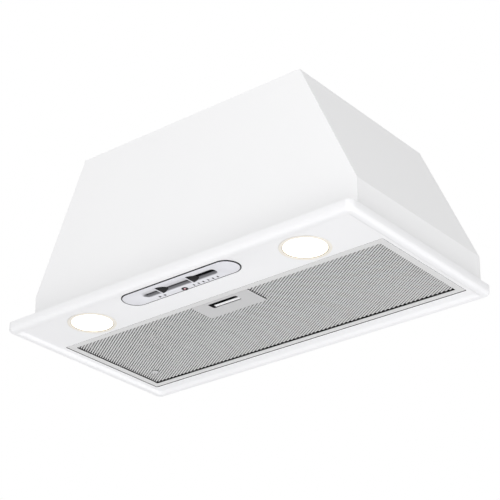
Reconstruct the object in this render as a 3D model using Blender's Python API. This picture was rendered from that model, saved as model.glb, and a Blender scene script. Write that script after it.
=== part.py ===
"""Built-in canopy hood: sheet casing, white bottom frame, grease filter, lamps, sliders, blower and outlet.

Metres, +Z up, +X to the right and +Y to the back, seen by the cook. The origin is the middle of the
frame's footprint, on the plane of its lowest rim.
"""

import math

import bmesh
import bpy
from mathutils import Matrix, Vector

mm = 0.001

# Clearance between two pieces that touch, and between a hole and what goes through it.
gap = 0.3 * mm

# Bottom frame.
frame_width = 520 * mm
frame_depth = 284 * mm
frame_height = 13 * mm
frame_corner_radius = 9 * mm
lip_round = 5 * mm
crest_width = 4 * mm
field_slope = 5 * mm
field_recess = 3.2 * mm
field_plate = 2 * mm
frame_skin = 1 * mm
opening_rib = 3 * mm
pocket_side_inset = 34 * mm
frame_edge = 0.6 * mm
seat_recess = 0.3 * mm
seat_play = 0.5 * mm

# Casing.
casing_width = 492 * mm
front_overhang = 32.8 * mm
band_top = 56.5 * mm
casing_top_z = 225.5 * mm
casing_top_width = 342 * mm
sheet = 1 * mm
fold = 10 * mm
bend_relief = 3 * mm
top_side_play = 0.4 * mm
top_lip_height = 12 * mm
top_lip_inset = 19 * mm
foot_width = 18 * mm
foot_length = 14 * mm
foot_screw_reach = 8.4 * mm
foot_screw_depth = 6.8 * mm
front_foot_inset = 23 * mm
rear_foot_inset = 57 * mm
pocket_front_inset = 5.2 * mm

# Grease filter.
filter_side_border = 19.5 * mm
filter_front_border = 85.5 * mm
filter_rear_border = 27.8 * mm
filter_bottom = 3.6 * mm
filter_height = 10 * mm
filter_play = 0.8 * mm
filter_side_play = 0.7 * mm
filter_back_play = 0.9 * mm
filter_sheet = 0.8 * mm
channel_face = 8.5 * mm
channel_top = 8 * mm
layer_inset = 4 * mm
mesh_sheet = 1.2 * mm
pack_sheet = 1.2 * mm
backing_sheet = 0.8 * mm
backing_columns = 10
backing_rows = 3
backing_bar = 8 * mm
diamond_length = 29 * mm
diamond_width = 22.6 * mm
strand = 4 * mm
mesh_border = 13 * mm
hinge_inset = 3 * mm
hinge_pin_radius = 1.2 * mm
hinge_pin_length = 6.4 * mm
hinge_pin_in_frame = 2.24 * mm
hinge_bore_depth = 2.8 * mm
hinge_pin_head = 0.6 * mm
rivet_side_inset = 31.5 * mm
rivet_rear_inset = 39.2 * mm
rivet_radius = 3.5 * mm
rivet_head_sheet = 0.5 * mm

# Latch in the filter's front edge.
latch_x = 1 * mm
latch_plate_width = 85 * mm
latch_plate_reach = 46.5 * mm
latch_slot_width = 43 * mm
latch_slot_depth = 12.5 * mm
latch_slot_reach = 26 * mm
latch_slot_corner = 2.5 * mm
latch_top_play = 0.8 * mm
latch_base_overhang = 8 * mm
latch_base_inset = 4 * mm
latch_end_play = 1 * mm
latch_lip_play = 0.2 * mm
notch_side_cover = 2.7 * mm
notch_back_cover = 2 * mm
latch_travel = 5 * mm
latch_sheet = 0.8 * mm
tongue_width = 30 * mm
tongue_height = 2 * mm
tongue_side_play = 1 * mm

# Lamps.
lamp_side_inset = 97.8 * mm
lamp_front_inset = 49.7 * mm
lamp_view_radius = 26.2 * mm
lamp_lip = 0.7 * mm
lamp_wall = 0.7 * mm
lamp_flange = 2.3 * mm
lamp_flange_sheet = 0.6 * mm
lamp_barrel = 7.5 * mm
lens_thickness = 1.6 * mm
module_edge = 1 * mm

# Control panel.
panel_x = -5.5 * mm
panel_front_inset = 32.2 * mm
panel_length = 172 * mm
panel_width = 35.2 * mm
panel_recess = 0.2 * mm
panel_base = 1 * mm
panel_margin_x = 11 * mm
panel_margin_y = 2.5 * mm
panel_room = 1 * mm
panel_front_room = 4 * mm
panel_screw_reach = 6.05 * mm
panel_screw_front = 6 * mm
slot_x = -7.1 * mm
slot_length = 110 * mm
slot_width = 17.6 * mm
light_knob_x = -34.5 * mm
speed_knob_x = 12.4 * mm
light_travel = 8 * mm
speed_travel = 22 * mm
knob_length = 9 * mm
knob_ridge = 3 * mm
knob_proud = 0.8 * mm
slider_margin = 3 * mm
slider_base = 1 * mm
slider_base_cover = 2 * mm
switch_side_inset = 0.5 * mm
switch_thickness = 1.2 * mm
board_thickness = 1.2 * mm
board_margin_x = 17.5 * mm
board_margin_y = 5 * mm
post_radius = 2.2 * mm
post_end_inset = 2 * mm
post_side_inset = 1 * mm
pilot_x = -10.5 * mm
pilot_offset = 14.3 * mm
pilot_radius = 2 * mm

# Outlet collar and its two non-return flaps.
collar_front_inset = 125.6 * mm
collar_radius = 60 * mm
collar_wall = 2 * mm
collar_height = 35 * mm
collar_flange = 18 * mm
collar_flange_sheet = 2 * mm
flap_axis_height = 10.5 * mm
flap_sheet = 1.2 * mm
flap_ledge = 2.5 * mm
flap_ledge_sheet = 1.5 * mm
flap_axis_x = 4 * mm
flap_bead_radius = 2 * mm
flap_plate_rise = 0.2 * mm
flap_stub_radius = 1.2 * mm
collar_screw_ring = 70 * mm
outlet_ledge = 1 * mm
flap_rim_play = 0.6 * mm
flap_stub_play = 0.5 * mm

# Blower.
blower_front_inset = 79.6 * mm
blower_drop = 107.5 * mm
impeller_radius = 62 * mm
impeller_ring = 8 * mm
impeller_half_width = 38 * mm
impeller_rim = 4 * mm
impeller_disc = 3 * mm
hub_radius = 9 * mm
hub_left = 4 * mm
hub_right = 12 * mm
shaft_end = 4 * mm
blade_count = 18
blade_lean = 25
blade_end = 1 * mm
scroll_start = 66 * mm
scroll_wall = 2.5 * mm
scroll_side_play = 4 * mm
throat_half = 42 * mm
inlet_radius = 48 * mm
scroll_flange_half = 58 * mm
scroll_flange_sheet = 3 * mm
shaft_radius = 4 * mm
motor_radius = 36 * mm
motor_inner_end = -12 * mm
motor_outer_end = -66 * mm
motor_edge = 2 * mm
motor_boss_length = 4 * mm
motor_boss_wall = 1 * mm
motor_shaft_seat = 18 * mm
guard_ring = 7 * mm
guard_sheet = 2.7 * mm
guard_arm = 6 * mm
guard_hub = 12 * mm
guard_land = 2 * mm
arm_inset = 0.3 * mm
clamp_wall = 3.2 * mm
clamp_length = 7 * mm

# Electrical parts under the top sheet.
terminal_side_inset = 46 * mm
terminal_rear_inset = 57 * mm
terminal_length = 60 * mm
terminal_depth = 50 * mm
terminal_height = 24 * mm
terminal_wall = 2 * mm
block_length = 30 * mm
block_depth = 12 * mm
block_height = 14 * mm
block_offset = 15 * mm
gland_radius = 6 * mm
gland_bore = 3.5 * mm
gland_head = 10 * mm
gland_height = 14 * mm
gland_root = 7 * mm
gland_nut = 4 * mm
gland_cone = 6 * mm
gland_neck = 1.5 * mm
capacitor_side_inset = 56 * mm
capacitor_rear_inset = 60 * mm
capacitor_radius = 14 * mm
capacitor_length = 55 * mm
clip_wall = 1.7 * mm
clip_width = 12 * mm
clip_base_width = 34 * mm
clip_base_sheet = 1.5 * mm
clip_base_cover = 1 * mm
clip_sink = 0.85 * mm

# Screws.
screw_radius = 1.4 * mm
screw_head_radius = 3 * mm
screw_head_height = 1.6 * mm
small_screw_radius = 1 * mm
small_screw_head_radius = 2 * mm
small_screw_head_height = 1.2 * mm
panel_bore_skin = 0.8 * mm
collar_screw_depth = 2.5 * mm
motor_screw_depth = 0.6 * mm
screw_end_room = 1 * mm
panel_bore_room = 0.3 * mm

# How far a cutter reaches past what it cuts.
cut_over = 1 * mm

# Places that follow from the sizes.
frame_front_y = -frame_depth / 2
casing_front_y = frame_front_y + front_overhang
casing_rear_y = frame_depth / 2
plate_top = field_recess + field_plate
skin_bottom = frame_height - frame_skin
foot_bore_bottom = frame_height - foot_screw_depth - screw_end_room
casing_foot_z = frame_height - seat_recess + gap
front_foot_x = casing_width / 2 - front_foot_inset
rear_foot_x = casing_width / 2 - rear_foot_inset
slope_run = (casing_width - casing_top_width) / 2
slope_rise = casing_top_z - band_top
sheet_across_slope = sheet * math.hypot(slope_run, slope_rise) / slope_rise
top_sheet_bottom = casing_top_z - sheet
under_top = top_sheet_bottom - gap
filter_width = frame_width - 2 * filter_side_border
filter_front_y = frame_front_y + filter_front_border
filter_back_y = frame_depth / 2 - filter_rear_border
filter_depth = filter_back_y - filter_front_y
filter_y = (filter_front_y + filter_back_y) / 2
filter_top = filter_bottom + filter_height
hinge_y = filter_back_y - hinge_inset
hinge_z = filter_bottom + hinge_inset
opening_front_y = filter_front_y - filter_play
opening_back_y = filter_back_y + filter_back_play
opening_half_width = filter_width / 2 + filter_side_play
pocket_back_y = opening_front_y - opening_rib
pocket_front_y = casing_front_y + pocket_front_inset
pocket_half_width = casing_width / 2 - pocket_side_inset
rivet_x = rivet_side_inset - filter_width / 2
rivet_y = filter_back_y - rivet_rear_inset
mesh_bottom = filter_bottom + filter_sheet + gap
mesh_top = mesh_bottom + mesh_sheet
backing_top = filter_top - filter_sheet - gap
backing_bottom = backing_top - backing_sheet
latch_plate_back = filter_front_y + latch_plate_reach
latch_slot_back = filter_front_y + latch_slot_reach
latch_slot_front = latch_slot_back - latch_slot_depth
latch_top = backing_bottom - latch_top_play
notch_half_width = latch_plate_width / 2 - notch_side_cover
notch_back_y = latch_plate_back - notch_back_cover
lamp_x = frame_width / 2 - lamp_side_inset
lamp_y = frame_front_y + lamp_front_inset
lamp_hole_radius = lamp_view_radius + lamp_lip + lamp_wall + gap
lamp_flange_bottom = field_recess - gap - lamp_flange_sheet
panel_y = frame_front_y + panel_front_inset
pilot_y = panel_y + pilot_offset
panel_face = field_recess + panel_recess
panel_bore_bottom = field_recess + panel_bore_skin
panel_base_bottom = plate_top + gap
panel_base_top = panel_base_bottom + panel_base
slider_bottom = panel_base_top + gap
slider_top = slider_bottom + slider_base
switch_bottom = slider_top + gap
switch_top = switch_bottom + switch_thickness
board_bottom = switch_top + gap
board_top = board_bottom + board_thickness
collar_y = casing_front_y + collar_front_inset
outlet_radius = collar_radius - collar_wall + outlet_ledge
collar_bottom = casing_top_z + gap
flap_axis_z = casing_top_z + flap_axis_height
collar_top = casing_top_z + collar_height
blower_y = casing_front_y + blower_front_inset
blower_z = casing_top_z - blower_drop
scroll_half_width = impeller_half_width + scroll_side_play
scroll_outside = scroll_half_width + scroll_wall
throat_front = collar_y - throat_half
throat_back = collar_y + throat_half
scroll_end = throat_back - blower_y
terminal_x = terminal_side_inset - casing_top_width / 2
terminal_y = casing_rear_y - terminal_rear_inset
capacitor_x = casing_top_width / 2 - capacitor_side_inset
capacitor_y = casing_rear_y - capacitor_rear_inset


# ---- modelling helpers

def clear_scene():
    for old in list(bpy.data.objects):
        bpy.data.objects.remove(old, do_unlink=True)


def make_material(name, color, roughness, metallic=0.0):
    material = bpy.data.materials.new(name)
    material.use_nodes = True
    shader = material.node_tree.nodes["Principled BSDF"]
    shader.inputs["Base Color"].default_value = (*color, 1)
    shader.inputs["Roughness"].default_value = roughness
    shader.inputs["Metallic"].default_value = metallic
    return material


def add_object(name, shape, material=None, smooth=False):
    mesh = bpy.data.meshes.new(name)
    bmesh.ops.recalc_face_normals(shape, faces=shape.faces)
    shape.to_mesh(mesh)
    shape.free()
    if smooth:
        mesh.shade_smooth()
        mesh.set_sharp_from_angle(angle=math.radians(35))
    if material:
        mesh.materials.append(material)
    made = bpy.data.objects.new(name, mesh)
    bpy.context.collection.objects.link(made)
    return made


def set_origin(piece, point):
    """Moves a piece's origin to a point of the world and leaves its surface where it is."""
    piece.data.transform(Matrix.Translation(-Vector(point)))
    piece.location = point


def copy_at(piece, name, location):
    twin = bpy.data.objects.new(name, piece.data)
    twin.location = location
    bpy.context.collection.objects.link(twin)
    return twin


def loft(loops, closed=False):
    """Skins equal loops of points, with flat caps at both ends or joined round into a ring."""
    shape = bmesh.new()
    rings = [[shape.verts.new(point) for point in loop] for loop in loops]
    count = len(rings[0])
    last = len(rings) if closed else len(rings) - 1
    for i in range(last):
        below, above = rings[i], rings[(i + 1) % len(rings)]
        for j in range(count):
            k = (j + 1) % count
            shape.faces.new((below[j], below[k], above[k], above[j]))
    if not closed:
        shape.faces.new(rings[0][::-1])
        shape.faces.new(rings[-1])
    return shape


def box(low, high):
    corners = ((0, 0), (1, 0), (1, 1), (0, 1))
    pick = (low, high)
    return loft([[(pick[i][0], pick[j][1], z) for i, j in corners] for z in (low[2], high[2])])


def prism(outline, low, high, axis="Z"):
    """Extrudes an outline of two coordinates: XY along Z, XZ along Y or YZ along X."""
    places = {
        "X": lambda u, v, w: (w, u, v),
        "Y": lambda u, v, w: (u, w, v),
        "Z": lambda u, v, w: (u, v, w),
    }
    place = places[axis]
    return loft([[place(u, v, w) for u, v in outline] for w in (low, high)])


def turned(profile, center, segments, axis="Z", closed=False):
    """Turns a profile of radius and height about an axis. An open profile is capped flat at its ends."""
    swaps = {
        "X": lambda a, b, h: (h, a, b),
        "Y": lambda a, b, h: (b, h, a),
        "Z": lambda a, b, h: (a, b, h),
    }
    swap = swaps[axis]
    loops = []
    for radius, height in profile:
        angles = [2 * math.pi * i / segments for i in range(segments)]
        loop = [swap(radius * math.cos(a), radius * math.sin(a), height) for a in angles]
        loops.append([Vector(point) + Vector(center) for point in loop])
    return loft(loops, closed)


def cylinder(radius, low, high, center, segments=24, axis="Z"):
    return turned([(radius, low), (radius, high)], center, segments, axis)


def rounded_rectangle(half_x, half_y, radius, center=(0, 0), steps=4):
    """Points of a rectangle with round corners, the same number for any size."""
    points = []
    for quarter, (side_x, side_y) in enumerate(((1, 1), (-1, 1), (-1, -1), (1, -1))):
        middle_x = center[0] + side_x * (half_x - radius)
        middle_y = center[1] + side_y * (half_y - radius)
        for step in range(steps + 1):
            angle = math.radians(90) * (quarter + step / steps)
            points.append((middle_x + radius * math.cos(angle), middle_y + radius * math.sin(angle)))
    return points


def stadium(half_length, half_width, center, steps=8):
    """Points of a slot with round ends, long in X."""
    points = []
    for side, start in ((1, -90), (-1, 90)):
        for step in range(steps + 1):
            angle = math.radians(start + 180 * step / steps)
            x = center[0] + side * (half_length - half_width) + half_width * math.cos(angle)
            points.append((x, center[1] + half_width * math.sin(angle)))
    return points


def merged(shapes):
    """Puts shapes that stay clear of each other into one mesh, to be used as one cutter."""
    whole = bmesh.new()
    for shape in shapes:
        held = bpy.data.meshes.new("held")
        bmesh.ops.recalc_face_normals(shape, faces=shape.faces)
        shape.to_mesh(held)
        shape.free()
        whole.from_mesh(held)
        bpy.data.meshes.remove(held)
    return whole


def combine(piece, shapes, operation, name):
    """Adds or cuts shapes with an exact Boolean whose tool object stays hidden."""
    tool = add_object(f"{piece.name}_{name}", merged(shapes))
    tool.hide_render = True
    tool.display_type = "WIRE"
    modifier = piece.modifiers.new(name, "BOOLEAN")
    modifier.operation = operation
    modifier.solver = "EXACT"
    modifier.object = tool
    return tool


def cut(piece, shapes, name="cut"):
    return combine(piece, shapes, "DIFFERENCE", name)


def join(piece, shapes, name="join"):
    return combine(piece, shapes, "UNION", name)


def screw(name, x, y, tip, seat, material, axis="Z", small=False):
    """A screw whose head lies on the seat and whose shank ends at the tip, heights along its axis."""
    shank = small_screw_radius if small else screw_radius
    head = small_screw_head_radius if small else screw_head_radius
    height = small_screw_head_height if small else screw_head_height
    side = 1 if seat > tip else -1
    under_head = seat + side * gap
    profile = [(shank, tip), (shank, under_head), (head, under_head), (head, under_head + side * height)]
    center = (x, y, 0) if axis == "Z" else (0, x, y)
    made = add_object(name, turned(profile, center, 10, axis), material, smooth=True)
    origin = (x, y, seat) if axis == "Z" else (seat, x, y)
    set_origin(made, origin)
    return made


# ---- materials, with the photograph's colours

clear_scene()
white_paint = make_material("white_paint", (0.93, 0.93, 0.94), 0.4)
white_frame = make_material("white_frame", (0.91, 0.91, 0.93), 0.38)
filter_metal = make_material("filter_metal", (0.72, 0.72, 0.73), 0.32, 1.0)
satin_metal = make_material("satin_metal", (0.66, 0.66, 0.67), 0.42, 1.0)
silver_plastic = make_material("silver_plastic", (0.68, 0.68, 0.73), 0.4, 0.3)
knob_plastic = make_material("knob_plastic", (0.62, 0.62, 0.66), 0.45)
lamp_trim = make_material("lamp_trim", (0.86, 0.84, 0.78), 0.35)
lamp_glass = make_material("lamp_glass", (1.0, 0.96, 0.86), 0.25)
red_lens = make_material("red_lens", (0.65, 0.08, 0.12), 0.2)
dark_plastic = make_material("dark_plastic", (0.05, 0.05, 0.055), 0.5)
board_green = make_material("board_green", (0.05, 0.22, 0.1), 0.5)
zinc_steel = make_material("zinc_steel", (0.6, 0.6, 0.6), 0.35, 1.0)
motor_grey = make_material("motor_grey", (0.35, 0.36, 0.38), 0.4, 1.0)


# ---- bottom frame

def frame_loops():
    """Outline loops from the top edge down round the lip, over the crest and up to the field."""
    half_x, half_y = frame_width / 2, frame_depth / 2
    steps = [(frame_edge, frame_height), (0, frame_height - frame_edge)]
    for step in range(5):
        angle = math.radians(90 * step / 4)
        steps.append((lip_round * (1 - math.cos(angle)), lip_round * (1 - math.sin(angle))))
    crest_end = lip_round + crest_width
    steps += [(crest_end, 0), (crest_end + field_slope, field_recess)]
    loops = []
    for inset, z in steps:
        radius = max(frame_corner_radius - inset, frame_edge)
        outline = rounded_rectangle(half_x - inset, half_y - inset, radius)
        loops.append([(x, y, z) for x, y in outline])
    return loops


def lamp_places():
    return (("left", -lamp_x), ("right", lamp_x))


def foot_places():
    """Side, x and y of the four screws that hold the casing's feet on the frame."""
    front_y = casing_front_y + sheet + foot_screw_reach
    rear_y = casing_rear_y - sheet - foot_screw_reach
    places = []
    for side, sign in (("left", -1), ("right", 1)):
        places.append((f"frame_screw_front_{side}", sign * front_foot_x, front_y))
        places.append((f"frame_screw_rear_{side}", sign * rear_foot_x, rear_y))
    return places


def panel_screw_places():
    reach = panel_length / 2 + panel_screw_reach
    y = pocket_front_y + panel_screw_front
    return (("left", panel_x - reach, y), ("right", panel_x + reach, y))


def make_bottom_frame():
    frame = add_object("bottom_frame", loft(frame_loops()), white_frame, smooth=True)
    above = frame_height + cut_over
    seat_x = casing_width / 2 + seat_play
    seat = box(
        (-seat_x, casing_front_y - seat_play, frame_height - seat_recess),
        (seat_x, casing_rear_y + cut_over, above))
    cut(frame, [seat], "seat")
    pocket = box((-pocket_half_width, pocket_front_y, plate_top), (pocket_half_width, pocket_back_y, above))
    opening = box(
        (-opening_half_width, opening_front_y, -cut_over),
        (opening_half_width, opening_back_y, above))
    cut(frame, [pocket, opening], "hollow")
    cavity_x = panel_length / 2 + panel_margin_x + panel_room
    cavity = box(
        (panel_x - cavity_x, panel_y - panel_width / 2 - panel_margin_y - panel_room, plate_top),
        (panel_x + cavity_x, pocket_front_y + panel_front_room, skin_bottom))
    wells = [cylinder(lamp_hole_radius, -cut_over, skin_bottom, (x, lamp_y, 0), 32) for _, x in lamp_places()]
    cut(frame, [cavity, *wells], "wells")
    pill = stadium(panel_length / 2, panel_width / 2, (panel_x, panel_y))
    holes = [prism(pill, -cut_over, plate_top + cut_over)]
    for _, x, y in foot_places():
        holes.append(cylinder(screw_radius + gap, foot_bore_bottom, above, (x, y, 0), 12))
    for _, x, y in panel_screw_places():
        holes.append(cylinder(small_screw_radius + gap, panel_bore_bottom, above, (x, y, 0), 12))
    reach = opening_half_width + hinge_bore_depth
    for side in (-1, 1):
        ends = sorted((side * (opening_half_width - cut_over), side * reach))
        holes.append(cylinder(hinge_pin_radius + gap, *ends, (0, hinge_y, hinge_z), 12, "X"))
    tongue = tongue_width / 2 + tongue_side_play
    holes.append(box(
        (latch_x - tongue, pocket_back_y - cut_over, latch_top - tongue_height - gap),
        (latch_x + tongue, opening_front_y + cut_over, latch_top + gap)))
    cut(frame, holes, "holes")
    return frame


# ---- casing

def slope_x(z, inside=0.0):
    """Half width of the casing's outer face at a height, less an inset along X."""
    if z <= band_top:
        return casing_width / 2 - inside
    return casing_width / 2 - (z - band_top) * slope_run / slope_rise - inside


def make_end_panel(name, outer_y, inward, foot_x):
    """Front or rear panel with two feet folded in over the frame."""
    inner_y = outer_y + inward * sheet
    half = casing_width / 2
    top = casing_top_width / 2
    outline = [(-half, casing_foot_z), (half, casing_foot_z), (half, band_top), (top, casing_top_z)]
    outline += [(-top, casing_top_z), (-half, band_top)]
    panel = add_object(name, prism(outline, *sorted((outer_y, inner_y)), "Y"), white_paint)
    feet = []
    for side in (-1, 1):
        near, far = sorted((outer_y + inward * sheet / 2, inner_y + inward * foot_length))
        low_x, high_x = side * foot_x - foot_width / 2, side * foot_x + foot_width / 2
        feet.append(box((low_x, near, casing_foot_z), (high_x, far, casing_foot_z + sheet)))
    join(panel, feet, "feet")
    holes = []
    for label, x, y in foot_places():
        if ("front" in label) == (inward > 0):
            holes.append(cylinder(screw_radius + gap, skin_bottom, casing_foot_z + 2 * sheet, (x, y, 0), 12))
    cut(panel, holes, "holes")
    return panel


def make_side_panel(name, side):
    """Side panel: upright band, sloping panel, a fold under the top sheet and folds at both ends."""
    front, back = casing_front_y + sheet + gap, casing_rear_y - sheet - gap
    skin = sheet_across_slope
    fold_top, fold_bottom = under_top, under_top - sheet
    inner_bend = band_top - sheet * math.tan(math.atan2(slope_run, slope_rise) / 2)
    outline = [
        (slope_x(0), casing_foot_z),
        (slope_x(band_top), band_top),
        (slope_x(casing_top_z), casing_top_z),
        (slope_x(casing_top_z, skin), casing_top_z),
        (slope_x(fold_top, skin), fold_top),
        (slope_x(fold_top, skin) - fold, fold_top),
        (slope_x(fold_bottom, skin) - fold, fold_bottom),
        (slope_x(fold_bottom, skin), fold_bottom),
        (casing_width / 2 - sheet, inner_bend),
        (casing_width / 2 - sheet, casing_foot_z),
    ]
    mirrored = [(side * x, z) for x, z in outline]
    panel = add_object(name, prism(mirrored, front, back, "Y"), white_paint)
    low, high = band_top + 2 * bend_relief, under_top - top_lip_height - bend_relief
    foot, bend = casing_foot_z + sheet, band_top - bend_relief
    near_x, far_x = slope_x(0, sheet / 2), slope_x(0, sheet + fold)
    band = [(near_x, foot), (far_x, foot), (far_x, bend), (near_x, bend)]
    slope = [(slope_x(low, skin / 2), low), (slope_x(low, skin + fold), low)]
    slope += [(slope_x(high, skin + fold), high), (slope_x(high, skin / 2), high)]
    folds = []
    for near, far in ((front, front + sheet), (back - sheet, back)):
        for shape in (band, slope):
            folds.append(prism([(side * x, z) for x, z in shape], near, far, "Y"))
    join(panel, folds, "folds")
    return panel


def collar_screw_places():
    reach = collar_screw_ring * math.sqrt(0.5)
    names = (("front_left", -1, -1), ("front_right", 1, -1), ("rear_left", -1, 1), ("rear_right", 1, 1))
    return [(label, i * reach, collar_y + j * reach) for label, i, j in names]


def make_casing_top():
    half = slope_x(casing_top_z, sheet_across_slope) - top_side_play
    front, back = casing_front_y + sheet + gap, casing_rear_y - sheet - gap
    plate = box((-half, front, top_sheet_bottom), (half, back, casing_top_z))
    top = add_object("casing_top", plate, white_paint)
    lip_half = half - top_lip_inset
    lip_bottom = top_sheet_bottom - top_lip_height
    middle = top_sheet_bottom + sheet / 2
    lips = [box((-lip_half, front, lip_bottom), (lip_half, front + sheet, middle))]
    lips.append(box((-lip_half, back - sheet, lip_bottom), (lip_half, back, middle)))
    join(top, lips, "folds")
    low, high = top_sheet_bottom - cut_over, casing_top_z + cut_over
    holes = [cylinder(outlet_radius, low, high, (0, collar_y, 0), 40)]
    holes.append(cylinder(gland_radius + gap, low, high, (terminal_x, terminal_y, 0), 20))
    for _, x, y in collar_screw_places():
        holes.append(cylinder(screw_radius + gap, low, high, (x, y, 0), 12))
    cut(top, holes, "holes")
    return top


# ---- grease filter, carried on an empty at its hinge

def layer_box(low, high):
    half = filter_width / 2 - layer_inset
    return box((-half, filter_front_y + layer_inset, low), (half, filter_back_y - layer_inset, high))


def latch_notch(low, high):
    """Room for the latch: open to the front edge of a filter layer."""
    return box(
        (latch_x - notch_half_width, filter_front_y, low - cut_over),
        (latch_x + notch_half_width, notch_back_y, high + cut_over))


def make_filter_frame():
    """Aluminium channel with square corners, open to the inside, that grips the layers."""
    half_x, half_y = filter_width / 2, filter_depth / 2
    t, chamfer = filter_sheet, frame_edge
    profile = [
        (0, filter_bottom + chamfer), (chamfer, filter_bottom), (channel_face, filter_bottom),
        (channel_face, filter_bottom + t), (t, filter_bottom + t), (t, filter_top - t),
        (channel_top, filter_top - t), (channel_top, filter_top), (0, filter_top),
    ]
    loops = []
    for inset, z in profile:
        x, y = half_x - inset, half_y - inset
        corners = ((x, y), (-x, y), (-x, -y), (x, -y))
        loops.append([(i, filter_y + j, z) for i, j in corners])
    frame = add_object("filter_frame", loft(loops, closed=True), filter_metal)
    holes = []
    for side in (-1, 1):
        ends = sorted((side * (half_x - 2 * t), side * (half_x + t)))
        holes.append(cylinder(hinge_pin_radius + gap, *ends, (0, hinge_y, hinge_z), 12, "X"))
    tongue = tongue_width / 2 + gap
    holes.append(box(
        (latch_x - tongue, filter_front_y - t, latch_top - tongue_height - gap),
        (latch_x + tongue, filter_front_y + 2 * t, latch_top + gap)))
    cut(frame, holes, "holes")
    return frame


def diamond_places():
    """Middles of the diamond gaps in staggered rows that stay clear of the border, latch and rivet."""
    half_x = filter_width / 2 - mesh_border
    low_y, high_y = filter_front_y + mesh_border, filter_back_y - mesh_border
    gap_x, gap_y = diamond_length / 2, diamond_width / 2
    rows = int((high_y - low_y) / gap_y) - 1
    columns = int(2 * half_x / diamond_length)
    places = []
    for row in range(rows):
        y = (low_y + high_y) / 2 + (row - (rows - 1) / 2) * gap_y
        shift = 0.5 if row % 2 else 0.0
        for column in range(-columns, columns + 1):
            x = (column + shift) * diamond_length
            inside = abs(x) + gap_x <= half_x + strand
            by_latch = abs(x - latch_x) < notch_half_width + gap_x and y - gap_y < notch_back_y
            by_rivet = math.hypot(x - rivet_x, y - rivet_y) < rivet_radius + gap_x
            if inside and not by_latch and not by_rivet:
                places.append((x, y))
    return places


def make_filter_layers():
    mesh = add_object("filter_mesh", layer_box(mesh_bottom, mesh_top), filter_metal)
    half_x = (diamond_length - strand * diamond_length / diamond_width) / 2
    half_y = (diamond_width - strand) / 2
    gaps = [latch_notch(mesh_bottom, mesh_top)]
    for x, y in diamond_places():
        outline = [(x + half_x, y), (x, y + half_y), (x - half_x, y), (x, y - half_y)]
        gaps.append(prism(outline, mesh_bottom - cut_over, mesh_top + cut_over))
    rivet_center = (rivet_x, rivet_y, 0)
    shank_hole = cylinder(screw_radius + gap, mesh_bottom - cut_over, mesh_top + cut_over, rivet_center, 12)
    cut(mesh, [*gaps, shank_hole], "gaps")

    low = mesh_top + gap
    high = low + pack_sheet
    pack = add_object("filter_pack", layer_box(low, high), filter_metal)
    cut(pack, [latch_notch(low, high)], "notch")

    backing = add_object("filter_backing", layer_box(backing_bottom, backing_top), filter_metal)
    columns, rows, bar = backing_columns, backing_rows, backing_bar
    wide = (filter_width - 2 * mesh_border + bar) / columns
    deep = (filter_depth - 2 * mesh_border + bar) / rows
    windows = []
    for column in range(columns):
        for row in range(rows):
            x = (column - (columns - 1) / 2) * wide
            y = filter_y + (row - (rows - 1) / 2) * deep
            half_wide, half_deep = (wide - bar) / 2, (deep - bar) / 2
            windows.append(box(
                (x - half_wide, y - half_deep, backing_bottom - cut_over),
                (x + half_wide, y + half_deep, backing_top + cut_over)))
    cut(backing, windows, "windows")

    head_bottom = mesh_bottom - gap - rivet_head_sheet
    profile = [(rivet_radius, head_bottom), (rivet_radius, mesh_bottom - gap)]
    profile += [(screw_radius, mesh_bottom - gap), (screw_radius, mesh_top)]
    rivet = add_object("filter_rivet", turned(profile, rivet_center, 16), satin_metal, smooth=True)
    return [mesh, pack, backing, rivet]


def make_hinge_pins():
    pins = []
    outside = opening_half_width + hinge_pin_in_frame
    inside = outside - hinge_pin_length
    head_end = filter_width / 2 - filter_sheet - gap
    head_radius = hinge_pin_radius + hinge_pin_head
    for label, side in (("left", -1), ("right", 1)):
        profile = [(head_radius, side * inside), (head_radius, side * head_end)]
        profile += [(hinge_pin_radius, side * head_end), (hinge_pin_radius, side * outside)]
        pin = turned(profile, (0, hinge_y, hinge_z), 12, "X")
        pins.append(add_object(f"filter_pin_{label}", pin, zinc_steel, smooth=True))
    return pins


def make_latch():
    front = filter_front_y + channel_face + gap
    half = latch_plate_width / 2
    plate_box = box(
        (latch_x - half, front, filter_bottom),
        (latch_x + half, latch_plate_back, filter_bottom + latch_sheet))
    plate = add_object("latch_plate", plate_box, satin_metal)
    slot_half = latch_slot_width / 2
    mouth_y = (latch_slot_front + latch_slot_back) / 2
    mouth = rounded_rectangle(slot_half, latch_slot_depth / 2, latch_slot_corner, (latch_x, mouth_y), 3)
    cut(plate, [prism(mouth, filter_bottom - cut_over, filter_bottom + latch_sheet + cut_over)], "slot")

    low = mesh_bottom
    high = low + latch_sheet
    base_half = slot_half + latch_base_overhang
    base_front = filter_front_y + latch_base_inset
    base_back = notch_back_y - latch_travel - latch_end_play
    handle = add_object(
        "latch_handle",
        box((latch_x - base_half, base_front, low), (latch_x + base_half, base_back, high)),
        satin_metal)
    lip_back = latch_slot_back - latch_lip_play
    lip_front = lip_back - latch_sheet
    tongue_half = tongue_width / 2
    lip = box((latch_x - slot_half + latch_end_play, lip_front, low + latch_sheet / 2),
              (latch_x + slot_half - latch_end_play, lip_back, latch_top))
    riser = box((latch_x - tongue_half, base_front, low + latch_sheet / 2),
                (latch_x + tongue_half, base_front + latch_sheet, latch_top))
    join(handle, [lip, riser], "walls")
    tongue = box((latch_x - tongue_half, filter_front_y, latch_top - tongue_height),
                 (latch_x + tongue_half, base_front + latch_sheet / 2, latch_top - latch_lip_play))
    join(handle, [tongue], "tongue")
    well = box((latch_x - slot_half + latch_end_play, latch_slot_front, low - cut_over),
               (latch_x + slot_half - latch_end_play, lip_front, high + cut_over))
    cut(handle, [well], "well")
    set_origin(handle, (latch_x, latch_slot_back, low))
    return [plate, handle]


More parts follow.
